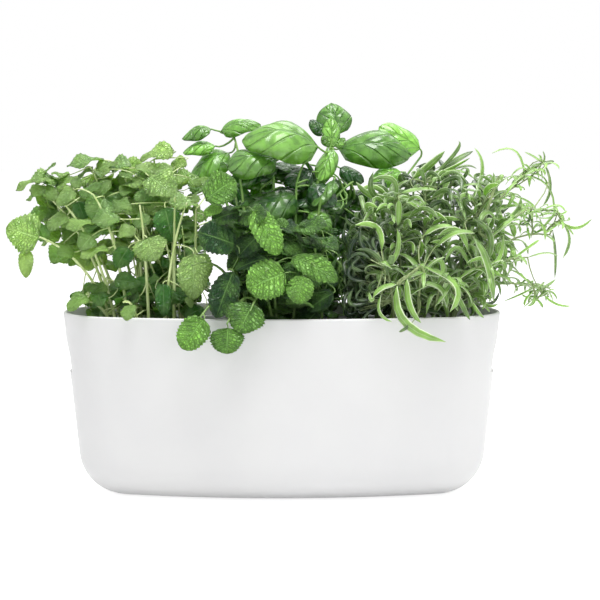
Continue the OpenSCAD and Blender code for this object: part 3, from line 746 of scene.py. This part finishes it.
def leaf_finish(name, deep, fresh, vein, glow, roughness, side_veins, net, relief, groove_shade, through,
                sheen, rim=0.0, gloss=0.35, slant=0.16):
    """A leaf: tone between deep and fresh, sunken veins with painted shade in them, light coming through."""
    finish, tree, surface = new_finish(name)
    veins = add_node(tree, "Group", node_tree=leaf_veins)
    veins.inputs["Side veins"].default_value = side_veins
    veins.inputs["Net"].default_value = net
    veins.inputs["Slant"].default_value = slant
    # Each leaf's tone attribute holds its own tone together with painted light and shade.
    tone_and_shade = add_node(tree, "Attribute", attribute_name="tone_and_shade").outputs["Fac"]
    place = add_node(tree, "TexCoord").outputs["Object"]
    cloud = add_node(tree, "TexNoise", {"Vector": place, "Scale": 120.0, "Detail": 3.0}).outputs["Fac"]
    mixed = calculate(tree, "ADD", tone_and_shade, map_range(tree, cloud, 0.3, 0.7, -0.15, 0.15))
    green = mix_colours(tree, mixed, deep, fresh)
    dark = mix_colours(tree, 0.8, green, deep, "MULTIPLY")
    # Painted shade: the vein grooves and the net between them are darkened in the colour.
    groove_shade_share = calculate(tree, "MULTIPLY", veins.outputs["Grooves"], groove_shade)
    green = mix_colours(tree, groove_shade_share, green, dark)
    middle = calculate(tree, "MULTIPLY", veins.outputs["Midrib"], 0.4)
    green = mix_colours(tree, middle, green, vein)
    # Pale edge: partly the paler rolled-under margin, partly a painted highlight along it.
    edge = calculate(tree, "MULTIPLY", calculate(tree, "MULTIPLY", veins.outputs["Rim"], rim), mixed)
    green = mix_colours(tree, edge, green, vein)
    tree.links.new(green, surface.inputs["Base Color"])
    tree.links.new(map_range(tree, cloud, 0.3, 0.7, roughness - 0.06, roughness + 0.06),
                   surface.inputs["Roughness"])
    surface.inputs["Sheen Weight"].default_value = sheen
    surface.inputs["Specular IOR Level"].default_value = gloss
    bump = add_node(tree, "Bump", {"Height": veins.outputs["Relief"], "Strength": 1.0, "Distance": relief})
    tree.links.new(bump.outputs[0], surface.inputs["Normal"])
    light = add_node(tree, "BsdfTranslucent", {"Color": mix_colours(tree, 0.5, green, glow)})
    both = add_node(tree, "MixShader", {0: through, 1: surface.outputs[0], 2: light.outputs[0]})
    tree.links.new(both.outputs[0], tree.nodes["Material Output"].inputs["Surface"])
    return finish


def stem_finish(name, low, high):
    """A soft green stem, paler in streaks along its length."""
    finish, tree, surface = new_finish(name)
    place = add_node(tree, "TexCoord").outputs["Object"]
    long_way = add_node(tree, "Mapping", {"Vector": place, "Scale": (1.0, 1.0, 0.15)}).outputs[0]
    streak = add_node(tree, "TexNoise", {"Vector": long_way, "Scale": 400.0, "Detail": 2.0}).outputs["Fac"]
    tree.links.new(mix_colours(tree, map_range(tree, streak, 0.3, 0.7, 0, 1), low, high),
                   surface.inputs["Base Color"])
    tree.links.new(map_range(tree, streak, 0.3, 0.7, 0.4, 0.6), surface.inputs["Roughness"])
    bump = add_node(tree, "Bump", {"Height": streak, "Strength": 0.4, "Distance": 0.0003})
    tree.links.new(bump.outputs[0], surface.inputs["Normal"])
    return finish


# Outlines in pixels of the leafy crown, of the low shoots inside the rim and of the shade behind them
balm_crown = (
    (28, 190), (60, 172), (104, 168), (140, 158), (186, 158), (204, 180), (216, 210), (206, 250), (150, 262),
    (84, 262), (56, 244))
balm_low = ((74, 302), (96, 282), (160, 276), (216, 280), (216, 316), (82, 316))
balm_shade = ((160, 236), (220, 236), (220, 304), (160, 304))
# Fills: outline, tries, near and far depth and longest leaf in millimetres, width as a share of the
# length, radius of the stalk in millimetres, darkest and lightest tone. The low and back fills are kept
# dark as painted shade inside the mass.
balm_fills = (
    (balm_crown, 250, 4, 46, 26, 0.74, 0.5, 0.3, 1.0),
    (balm_low, 130, -34, 46, 22, 0.7, 0.5, 0.0, 0.35),
    (balm_shade, 60, 0, 46, 24, 0.7, 0.5, 0.0, 0.15),
)
# Stems that show bare below the crown: how many, how far from the middle they stand, how far their tips
# lean sideways, to the front or back, and up, and how far their bend bows out, all in millimetres.
bare_stems, bare_away, bare_bow = 18, 35, 6
bare_aside, bare_front, bare_up = (-30, 4), (-12, 12), (78, 108)
bare_bend, bare_foot_r, bare_tip_r = 0.6, 1.1, 0.6
balm_veins = {
    "side_veins": 6, "net": 12, "relief": 0.0022, "groove_shade": 0.45, "through": 0.42, "sheen": 0.1}
balm_glow = (0.75, 1.0, 0.05, 1)
balm = Herb("lemon_balm", -1, balm_stems, Cut(
    18, 4, 0.6, 0.6, tooth=0.13, fold=0.12, quilt=0.04, wave=0.3, veins=6), 11)
balm.add_seen(balm_seen, 0.6 * mm)
balm.add_fills(balm_fills)
for _ in range(bare_stems):
    away = bare_away * mm * math.sqrt(balm.draw.random())
    bearing = balm.draw.uniform(0, math.pi)
    base = Vector((balm.pot * pot_pitch, 0, soil_top))
    base += Vector((math.cos(bearing), math.sin(bearing), 0)) * away
    lean = Vector([balm.draw.uniform(*spread) for spread in (bare_aside, bare_front, bare_up)])
    tip = base + lean * mm
    bend = base.lerp(tip, bare_bend) + Vector((bare_bow * mm, 0, 0))
    balm.runs.append((base, bend, tip, bare_foot_r * mm, bare_tip_r * mm))
balm.set_on_pot(
    "lemon_balm_pot",
    leaf_finish("balm_leaf", (0.055, 0.30, 0.035, 1), (0.72, 1.0, 0.36, 1), (0.66, 0.92, 0.42, 1),
                balm_glow, roughness=0.30, gloss=1.0, **balm_veins),
    leaf_finish("balm_leaf_under", (0.16, 0.58, 0.08, 1), (0.82, 1.0, 0.44, 1), (0.74, 0.95, 0.50, 1),
                balm_glow, roughness=0.36, gloss=0.9, **balm_veins),
    stem_finish("balm_stem", (0.46, 0.60, 0.20, 1), (0.70, 0.80, 0.42, 1)), 1.5 * mm, 0.3 * mm)


# Mint: it shares the middle pot with the basil and grows at the front. Its toothed leaves are larger and
# darker than the lemon balm's, deeply quilted between the veins, and some hang over the rim.
mint_stems = (
    (-24, -36, -66, -82, 18, 66),
    (-14, -40, -42, -86, 18, 62),
    (-6, -42, -24, -86, 28, 60),
    (-28, -32, -42, -64, 58, 66),
    (-4, -40, -12, -78, 58, 74),
    (16, -40, 26, -78, 62, 76),
    (8, -36, 22, -70, 50, 66),
    (-10, -34, -14, -62, 98, 86),
    (-29, -26, -54, -62, 112, 80),
    (-30, -24, -38, -38, 122, 96),
    (-27, -31, -70, -68, 62, 74),
    (28, -30, 36, -56, 74, 78),
    (32, -24, 36, -44, 46, 56),
)
# Leaves that show plainly, in the lemon balm's columns; their tone holds painted light and shade too.
mint_seen = (
    (206, 200, 235, 179, -62, 2, 33, 60, 0.05, 0.5),
    (222, 206, 204, 215, -60, -2, 12, 50, 0.05, 1.0),
    (239, 212, 212, 221, -58, -6, 19, 45, 0.06, 0.1),
    (236, 245, 198, 232, -62, -8, 32, 65, 0.05, 0.05),
    (258, 236, 238, 257, -52, -8, 22, 65, 0.05, 0.1),
    (254, 211, 279, 255, -66, -8, 27, 55, 0.08, 0.75),
    (284, 241, 300, 256, -50, -6, 16, 60, 0.05, 0.35),
    (292, 258, 338, 282, -62, -12, 23, 50, 0.1, 0.5),
    (285, 273, 247, 289, -72, -8, 39, 70, 0.05, 0.65),
    (303, 276, 297, 304, -76, -6, 26, 75, 0.05, 0.65),
    (233, 272, 216, 318, -66, -6, 28, 78, 0.05, 0.05),
    (240, 306, 226, 317, -76, -4, 12, 60, 0.05, 0.3),
    (253, 304, 239, 333, -80, -8, 35, 68, 0.06, 0.35),
    (228, 328, 227, 354, -84, -6, 32, 78, 0.04, 0.4),
    (204, 319, 182, 349, -80, -8, 30, 72, 0.05, 0.6),
)
mint_mass = (
    (222, 200), (245, 208), (285, 222), (336, 232), (344, 300), (344, 316), (240, 316), (240, 252),
    (224, 240))
mint_fills = ((mint_mass, 160, -58, -24, 30, 0.76, 0.6, 0.0, 0.4),)
mint = Herb("mint", 0, mint_stems, Cut(
    20, 6, 0.74, 0.56, tooth=0.11, fold=0.1, quilt=0.04, wave=0.25, veins=7), 23)
mint.add_seen(mint_seen, 0.6 * mm)
mint.add_fills(mint_fills)
mint.set_on_pot(
    "basil_pot",
    leaf_finish("mint_leaf", (0.016, 0.080, 0.022, 1), (0.46, 0.94, 0.15, 1), (0.38, 0.72, 0.20, 1),
                (0.60, 1.0, 0.02, 1), roughness=0.38, side_veins=7, net=10, relief=0.0016,
                groove_shade=0.65, through=0.3, sheen=0.05, gloss=0.5),
    leaf_finish("mint_leaf_under", (0.08, 0.22, 0.05, 1), (0.36, 0.62, 0.13, 1), (0.40, 0.60, 0.20, 1),
                (0.50, 0.95, 0.03, 1), roughness=0.6, side_veins=7, net=10, relief=0.0008,
                groove_shade=0.35, through=0.28, sheen=0.1),
    stem_finish("mint_stem", (0.12, 0.24, 0.05, 1), (0.26, 0.40, 0.12, 1)), 1.5 * mm, 0.3 * mm)


# Basil: the back of the middle pot. Few strong stems carry pairs of large, shiny leaves that bulge
# upward between their sunken side veins.
basil_stems = (
    (16, 26, 40, 60, 156, 120),
    (-20, 26, -42, 60, 166, 120),
    (-4, 8, -8, 14, 146, 110),
    (10, 4, 12, 2, 124, 95),
    (26, 20, 42, 30, 160, 120),
    (14, 36, 122, 98, 146, 50),
    (24, -4, 32, -10, 112, 85),
    (-26, 0, -34, -6, 128, 95),
    (-26, 30, -62, 62, 132, 105),
    (4, 34, 66, 60, 128, 105),
)
# Leaves that show plainly, in the lemon balm's columns; their tone holds painted light and shade too.
basil_seen = (
    (318, 147, 242, 141, 12, -10, 42, 42, 0.24, 0.62),
    (339, 149, 411, 155, 70, 2, 40, 58, 0.22, 0.4),
    (332, 148, 331, 118, 30, 6, 19, 60, 0.05, 0.85),
    (333, 149, 319, 181, 26, -14, 21, 70, 0.05, 0.8),
    (331, 146, 322, 136, 30, 0, 10, 60, 0.05, 0.6),
    (334, 146, 345, 138, 30, 4, 10, 50, 0.05, 0.6),
    (339, 134, 331, 103, 60, 8, 37, 55, 0.12, 0.4),
    (325, 134, 310, 120, 40, 4, 14, 50, 0.05, 0.05),
    (420, 149, 379, 127, 92, -4, 32, 60, 0.1, 1.0),
    (277, 159, 227, 168, 4, -8, 34, 48, 0.22, 0.5),
    (221, 131, 261, 125, 62, 2, 19, 38, 0.2, 0.6),
    (211, 129, 182, 139, 64, 2, 15, 35, 0.2, 0.5),
    (215, 146, 183, 153, 64, 0, 15, 35, 0.2, 0.95),
    (229, 153, 188, 186, 68, -2, 30, 45, 0.22, 0.6),
    (297, 194, 243, 221, 6, -10, 36, 45, 0.16, 0.2),
    (309, 186, 336, 205, 4, -8, 26, 60, 0.1, 0.05),
    (309, 213, 331, 230, -4, -6, 24, 65, 0.14, 0.5),
    (401, 172, 371, 181, 62, -2, 22, 60, 0.1, 0.9),
    (340, 168, 364, 182, 60, -2, 18, 60, 0.05, 0.0),
    (312, 172, 285, 182, 12, -4, 24, 55, 0.08, 0.05),
)
# Fill outlines in pixels; their dark tones are painted shade inside the mass, darkest behind and in the gap.
basil_mass = ((202, 176), (236, 165), (330, 160), (368, 182), (345, 220), (345, 316), (214, 316), (202, 220))
basil_back = ((334, 176), (372, 186), (396, 210), (396, 304), (334, 304))
basil_gap = ((324, 258), (358, 258), (358, 298), (324, 298))
basil_low = ((296, 286), (346, 280), (346, 316), (296, 316))
basil_edge = ((314, 206), (343, 196), (343, 306), (314, 296))
basil_fills = (
    (basil_mass, 230, 8, 62, 36, 0.62, 0.9, 0.0, 0.35),
    (basil_back, 120, 54, 90, 32, 0.62, 0.9, 0.0, 0.2),
    (basil_gap, 90, 40, 64, 17, 0.7, 0.6, 0.0, 0.1),
    (basil_low, 80, -10, 50, 20, 0.66, 0.6, 0.0, 0.2),
    (basil_edge, 90, -10, 48, 18, 0.66, 0.6, 0.0, 0.25),
)
basil_vein_count, basil_vein_slant = 3.5, 0.42
basil = Herb("basil", 0, basil_stems, Cut(
    16, 6, 0.72, 0.58, sweep=0.35, cup=0.5, quilt=0.012, wave=0.15,
    veins=basil_vein_count, slant=basil_vein_slant), 37)
basil.add_seen(basil_seen, 1.0 * mm)
basil.add_fills(basil_fills)
basil.set_on_pot(
    "basil_pot",
    leaf_finish("basil_leaf", (0.014, 0.075, 0.020, 1), (0.36, 0.74, 0.12, 1), (0.03, 0.12, 0.03, 1),
                (0.55, 1.0, 0.02, 1), roughness=0.27, side_veins=basil_vein_count, net=2, relief=0.0012,
                groove_shade=0.35, through=0.3, sheen=0.0, gloss=0.9, slant=basil_vein_slant),
    leaf_finish("basil_leaf_under", (0.10, 0.30, 0.05, 1), (0.42, 0.74, 0.09, 1), (0.44, 0.70, 0.16, 1),
                (0.50, 1.0, 0.02, 1), roughness=0.45, side_veins=basil_vein_count, net=2, relief=0.001,
                groove_shade=0.2, through=0.28, sheen=0.0, slant=basil_vein_slant),
    stem_finish("basil_stem", (0.14, 0.31, 0.05, 1), (0.27, 0.46, 0.11, 1)), 1.8 * mm, 0.35 * mm)


# Rosemary: the right pot. Long arching stems are set all round with narrow leaves whose edges roll
# under; each has a groove along its middle and a pale felted underside.
rosemary_stems = (
    (30, 10, 44, 12, 138, 96),
    (16, -10, 18, -14, 128, 90),
    (36, -6, 78, -8, 124, 96),
    (38, 8, 92, 14, 120, 96),
    (38, -14, 106, -18, 106, 88),
    (40, 2, 122, 4, 82, 90),
    (36, -24, 98, -36, 66, 66),
    (34, 22, 94, 34, 92, 80),
    (40, 14, 108, 24, 38, 50),
    (0, -14, -8, -22, 108, 80),
    (-20, -10, -26, -18, 92, 70),
    (-28, 14, -30, 18, 104, 76),
    (8, 28, 12, 36, 116, 84),
    (-8, -36, -18, -56, 60, 56),
    (10, -40, 12, -74, 56, 66),
    (24, -36, 34, -72, 46, 64),
    (32, -28, 64, -50, 60, 60),
)
# Leaves that show plainly: foot, middle and tip in the picture's pixels, depth of the foot and how much
# deeper the tip lies in millimetres, width in pixels and tone, which holds painted light and shade as
# the leaf shows lit or shaded, as well as its own tone.
rosemary_seen = (
    (398, 199, 372, 196, 356, 182, -30, -4, 8, 0.55),
    (400, 198, 423, 205, 435, 221, -30, -4, 8, 0.5),
    (399, 200, 399, 212, 398, 226, -36, -4, 7, 0.6),
    (401, 193, 420, 188, 437, 190, -24, 0, 7, 0.75),
    (413, 178, 429, 166, 445, 151, 0, 4, 8, 0.6),
    (433, 176, 455, 160, 473, 151, 6, 6, 8, 0.35),
    (433, 176, 456, 152, 459, 141, 6, 0, 4, 0.4),
    (433, 176, 452, 168, 470, 158, 4, 0, 4, 0.8),
    (433, 176, 457, 170, 475, 179, 2, -4, 5, 0.6),
    (478, 189, 483, 165, 475, 148, 6, 0, 6, 0.95),
    (525, 175, 515, 150, 492, 153, 10, 4, 4, 0.8),
    (525, 175, 549, 187, 554, 217, 6, -4, 4, 0.7),
    (543, 163, 534, 156, 525, 152, 8, 0, 4, 0.8),
    (543, 163, 549, 162, 554, 161, 8, -2, 5, 0.2),
    (543, 163, 537, 164, 531, 166, 8, -4, 5, 0.3),
    (543, 163, 545, 157, 543, 151, 10, 2, 3, 0.5),
    (545, 164, 551, 187, 543, 206, 6, -4, 5, 0.5),
    (563, 223, 577, 228, 592, 219, 4, 0, 4, 0.8),
    (563, 222, 569, 228, 574, 235, 4, -3, 4, 0.7),
    (564, 224, 570, 240, 563, 258, 2, -4, 5, 0.5),
    (553, 231, 556, 255, 555, 278, 2, -4, 5, 0.35),
    (556, 212, 548, 222, 540, 230, 0, -4, 3, 0.6),
    (543, 294, 556, 304, 572, 306, -20, -4, 3, 0.85),
    (397, 284, 382, 287, 373, 297, -76, -4, 8, 0.75),
    (397, 285, 404, 322, 446, 342, -78, -8, 10, 0.75),
    (407, 278, 409, 305, 421, 323, -80, -4, 8, 0.8),
    (423, 266, 457, 285, 450, 312, -74, -10, 9, 0.8),
    (421, 282, 442, 288, 447, 308, -74, -6, 10, 0.5),
    (381, 295, 379, 312, 392, 322, -78, -4, 4, 0.7),
    (374, 297, 371, 300, 369, 292, -72, 0, 4, 0.75),
    (410, 325, 405, 329, 399, 332, -82, -2, 4, 0.2),
    (424, 235, 437, 226, 453, 226, -52, -2, 9, 0.7),
    (436, 246, 455, 232, 475, 233, -54, -4, 9, 0.7),
    (474, 238, 488, 262, 494, 302, -58, -10, 10, 0.55),
    (458, 208, 470, 197, 489, 194, -10, 2, 11, 0.25),
    (480, 231, 484, 214, 490, 199, -20, 4, 8, 0.5),
    (504, 222, 518, 212, 521, 197, -8, 6, 9, 0.5),
    (519, 225, 530, 219, 526, 203, -4, 2, 4, 0.2),
    (495, 204, 500, 220, 502, 241, -14, -4, 5, 0.5),
    (376, 262, 356, 238, 348, 268, -36, -4, 6, 0.05),
    (380, 255, 362, 232, 350, 248, -34, -2, 6, 0.1),
    (372, 275, 358, 256, 353, 280, -38, -2, 5, 0.0),
    (458, 296, 463, 307, 470, 320, -58, -4, 5, 0.4),
    (473, 303, 477, 311, 484, 318, -50, -4, 4, 0.8),
    (468, 300, 482, 295, 492, 301, -24, -4, 5, 0.6),
    (480, 300, 489, 306, 498, 304, -20, 0, 4, 1.0),
    (476, 296, 484, 304, 490, 312, -28, -4, 5, 0.7),
    (410, 180, 398, 185, 392, 196, 0, -2, 5, 0.5),
    (450, 178, 443, 190, 440, 200, 0, -4, 7, 0.5),
    (455, 175, 465, 182, 460, 200, 2, -4, 6, 0.6),
)


def add_seen_arcs(herb, rows, stalk_r):
    """Narrow leaves that bend through a middle point in the picture."""
    for foot_px, foot_py, mid_px, mid_py, tip_px, tip_py, depth, deeper, wide, tone_and_shade in rows:
        foot = seen_at(foot_px, foot_py, depth * mm)
        middle = seen_at(mid_px, mid_py, (depth + deeper / 2) * mm)
        tip = seen_at(tip_px, tip_py, (depth + deeper) * mm)
        bend = 2 * middle - (foot + tip) / 2
        outward = bend - (foot + tip) / 2
        face = Vector((0, -0.8, 0.6)) + outward.normalized()
        herb.add_stalk(foot, bend - foot, stalk_r)
        herb.grow(foot, bend, tip, face, wide / 2 * pixel_size, tone_and_shade, 0)


# Sprigs: leaves follow each other round a twig by this angle and some chance, in degrees, rise by a
# range of angles, shrink toward the tip, curl sideways and droop, and are painted lighter away from the
# pot and higher up, as painted shade on the inner and lower leaves.
sprig_angle, sprig_chance, sprig_rise = 137.5, 60, (-20, 60)
sprig_size, sprig_shrink, sprig_half = (0.6, 1.0), 0.4, (0.055, 0.09)
sprig_curl, sprig_droop = (-0.7, 0.7), (0, 1.2)
light_away, light_from_z, light_over_z = 90 * mm, 0.14, 0.05


def add_sprigs(herb, twigs, per_twig, first, last, longest, lightest):
    """Narrow leaves set all round each twig, bending every way, with painted shade toward the pot's middle.
    """
    for twig in twigs:
        for k in range(per_twig):
            share = first + (last - first) * (k + herb.draw.random()) / per_twig
            start, heading = on_curve(*twig, share)
            bearing = math.radians(sprig_angle * k + sprig_chance * herb.draw.random())
            rise = math.radians(herb.draw.uniform(*sprig_rise))
            level = math.cos(rise)
            way = Vector((math.cos(bearing) * level, math.sin(bearing) * level, math.sin(rise)))
            size = longest * herb.draw.uniform(*sprig_size) * (1 - sprig_shrink * share ** 3)
            curl = Vector((herb.draw.uniform(*sprig_curl), herb.draw.uniform(*sprig_curl),
                           -herb.draw.uniform(*sprig_droop)))
            bend = start + (way + 0.4 * heading) * 0.6 * size
            tip = start + (way + 0.7 * curl) * 0.8 * size
            # Painted shade: leaves near the pot's middle and low down get a darker tone.
            outward = math.hypot(start.x - herb.pot * pot_pitch, start.y) / light_away
            raised = min(1, (start.z - light_from_z) / light_over_z)
            tone_and_shade = 0.35 * herb.draw.random() + 0.55 * min(1, outward) * raised
            half = size * herb.draw.uniform(*sprig_half)
            if herb.fits(start, on_curve(start, bend, tip, 0.6)[0], tip):
                herb.grow(start, bend, tip, Vector((0, -0.5, 1)) - 0.6 * curl, half, lightest * tone_and_shade, 0)


# Curls: each turns by a range of angles in radians, leans a little every way, and is this slender.
curl_turn, curl_size, curl_half, curl_tone = (0.6, 2.2), (0.6, 1.0), (0.05, 0.08), (0.3, 1.0)
curl_lean = ((-0.3, 0.3), (-0.5, 0.2), (-0.5, 0.1))
curl_tip, curl_up = (-0.6, 0.6), (-0.3, 0.9)
curl_stalk_r = 0.5 * mm


def add_curls(herb, outline, tries, near, far, longest, lightest):
    """Narrow leaves that leave a stem, or a short side shoot of it, and curl; deeper ones get painted shade.
    """
    for middle in herb.places(outline, tries, near, far):
        stem = herb.nearest(middle)
        size = longest * mm * herb.draw.uniform(*curl_size)
        run = (middle - stem).normalized()
        start = middle - run * min(0.55 * size, (middle - stem).length)
        turn = herb.draw.choice((-1, 1)) * herb.draw.uniform(*curl_turn)
        lean = Vector([herb.draw.uniform(*spread) for spread in curl_lean])
        then = Vector((run.x * math.cos(turn) - run.z * math.sin(turn), run.y,
                       run.x * math.sin(turn) + run.z * math.cos(turn))) + lean
        tip = middle + 0.5 * size * then.normalized()
        bend = 2 * middle - (start + tip) / 2
        face = Vector((herb.draw.uniform(*curl_tip), -1, herb.draw.uniform(*curl_up)))
        # Painted shade: the tone falls from the front of the depth range to the back.
        front = (far * mm - middle.y) / ((far - near) * mm)
        tone_and_shade = lightest * front * herb.draw.uniform(*curl_tone)
        half = size * herb.draw.uniform(*curl_half)
        if herb.fits(start, middle, tip) and (start - stem).length < longest_stalk:
            herb.runs.append((stem, stem.lerp(start, 0.5), start, curl_stalk_r, curl_stalk_r))
            herb.grow(start, bend, tip, face, half, tone_and_shade, 0)


# Outlines in pixels of the whole tangle, of the curls beside the middle pot and at its edge, kept dark
# as painted shade, and of the low ones
rosemary_mass = (
    (364, 200), (376, 182), (414, 168), (444, 164), (470, 172), (498, 180), (508, 230), (500, 290),
    (470, 310), (384, 310), (376, 250))
rosemary_dark = ((344, 232), (384, 214), (392, 316), (344, 316))
rosemary_edge = ((342, 218), (364, 212), (364, 316), (342, 316))
rosemary_low = ((396, 290), (496, 286), (490, 316), (396, 316))
# Curls: outline, tries, near and far depth and longest leaf in millimetres, lightest tone; a low
# lightest tone keeps an outline's curls dark as painted shade
rosemary_curls = (
    (rosemary_mass, 480, -50, 46, 40, 1.0),
    (rosemary_dark, 240, -52, 40, 30, 0.2),
    (rosemary_edge, 130, -46, 46, 20, 0.25),
    (rosemary_low, 110, -40, 40, 24, 0.7),
)
# Side branches that show: depth and radius in millimetres, and points in pixels. The first carry sprigs.
rosemary_leafy_branches = (
    (4, 0.8, (531, 209), (556, 211), (563, 223)),
    (-18, 0.8, (533, 284), (536, 300), (543, 293)),
    (8, 0.7, (525, 175), (543, 163)),
)
rosemary_bare_branches = (
    (-76, 1.2, (421, 266), (397, 284)),
    (-20, 1.2, (479, 233), (499, 176)),
)
rosemary_glow = (0.60, 0.95, 0.05, 1)
rosemary = Herb("rosemary", 1, rosemary_stems, Cut(
    7, 4, 0.8, 0.4, sweep=0.0, fold=0.3, cup=0.5, follow=1.0), 53)
for depth, thick, *points in rosemary_leafy_branches:
    rosemary.add_branch(depth, thick * mm, *points)
rosemary_twigs = [run[:3] for run in rosemary.runs]
for depth, thick, *points in rosemary_bare_branches:
    rosemary.add_branch(depth, thick * mm, *points)
add_seen_arcs(rosemary, rosemary_seen, 0.6 * mm)
add_sprigs(rosemary, rosemary.stems, per_twig=22, first=0.2, last=1.0, longest=42 * mm, lightest=1.0)
add_sprigs(rosemary, rosemary_twigs, per_twig=13, first=0.1, last=1.0, longest=26 * mm, lightest=1.3)
for row in rosemary_curls:
    add_curls(rosemary, *row)
# The near-white edge colour is partly the paler rolled-under margin, partly a painted highlight.
rosemary.set_on_pot(
    "rosemary_pot",
    leaf_finish("rosemary_leaf", (0.006, 0.034, 0.016, 1), (0.40, 0.70, 0.14, 1), (0.90, 1.0, 0.72, 1),
                rosemary_glow, roughness=0.34, side_veins=0, net=3, relief=0.0005, groove_shade=0.15,
                through=0.25, sheen=0.05, rim=1.3, gloss=0.7),
    leaf_finish("rosemary_leaf_under", (0.14, 0.26, 0.12, 1), (0.66, 0.86, 0.42, 1), (0.80, 0.94, 0.56, 1),
                rosemary_glow, roughness=0.7, side_veins=0, net=3, relief=0.0004, groove_shade=0.1,
                through=0.25, sheen=0.1),
    stem_finish("rosemary_stem", (0.20, 0.28, 0.10, 1), (0.38, 0.46, 0.22, 1)), 1.4 * mm, 0.5 * mm)


# Studio: a pale floor that keeps the planter's shadow, a white surround, one strong soft light above,
# weak ones in front at the right and the left, and one behind that shines through the leaves.
floor_half, floor_grey = 20, (0.8, 0.8, 0.8, 1)
floor_glow, floor_glow_seen = 0.12, 0.7
surround_glow, surround_glow_seen = 0.48, 1.0


def seen_directly(tree):
    """Whether a ray comes from the camera, by itself or through a reflection or glass."""
    path = add_node(tree, "LightPath")
    return calculate(tree, "MAXIMUM", path.outputs["Is Camera Ray"], calculate(
        tree, "MAXIMUM", path.outputs["Is Glossy Ray"], path.outputs["Is Transmission Ray"]))


floor_shape = bmesh.new()
bmesh.ops.create_grid(floor_shape, x_segments=1, y_segments=1, size=floor_half)
floor_mesh = bpy.data.meshes.new("floor")
floor_shape.to_mesh(floor_mesh)
floor_shape.free()
floor = bpy.data.objects.new("floor", floor_mesh)
bpy.context.scene.collection.objects.link(floor)
floor_finish, floor_tree, floor_surface = new_finish("pale_floor")
floor_surface.inputs["Base Color"].default_value = floor_grey
floor_surface.inputs["Roughness"].default_value = 0.9
floor_surface.inputs["Specular IOR Level"].default_value = 0.0
floor_strength = map_range(floor_tree, seen_directly(floor_tree), 0.0, 1.0, floor_glow, floor_glow_seen)
lift_white = add_node(floor_tree, "Emission", {"Color": (1, 1, 1, 1), "Strength": floor_strength})
floor_sum = add_node(floor_tree, "AddShader", {0: floor_surface.outputs[0], 1: lift_white.outputs[0]})
floor_tree.links.new(floor_sum.outputs[0], floor_tree.nodes["Material Output"].inputs["Surface"])
floor_mesh.materials.append(floor_finish)

surround = bpy.data.worlds.new("surround")
surround.use_nodes = True
bpy.context.scene.world = surround
sky_tree = surround.node_tree
sky = sky_tree.nodes["Background"]
sky.inputs["Color"].default_value = (1, 1, 1, 1)
sky_strength = map_range(sky_tree, seen_directly(sky_tree), 0.0, 1.0, surround_glow, surround_glow_seen)
sky_tree.links.new(sky_strength, sky.inputs["Strength"])


def soft_light(name, place, aim, size, watts):
    """A square soft box that faces the aim."""
    lamp = bpy.data.lights.new(name, "AREA")
    lamp.size = size
    lamp.energy = watts
    box = bpy.data.objects.new(name, lamp)
    box.location = place
    box.rotation_euler = (Vector(aim) - Vector(place)).to_track_quat("-Z", "Y").to_euler()
    box.visible_camera = False
    bpy.context.scene.collection.objects.link(box)


on_herbs, on_shell = (0, 0, 0.25), (0, 0, 0.15)
soft_light("key", (0.2, -0.4, 1.8), on_herbs, size=1.0, watts=34)
soft_light("front", (1.0, -1.3, 0.7), on_shell, size=1.0, watts=3)
soft_light("fill", (-1.4, -0.9, 0.8), on_shell, size=1.0, watts=3)
soft_light("back", (0.3, 1.2, 1.5), on_herbs, size=1.0, watts=10)
bpy.context.scene.view_settings.view_transform = "Standard"
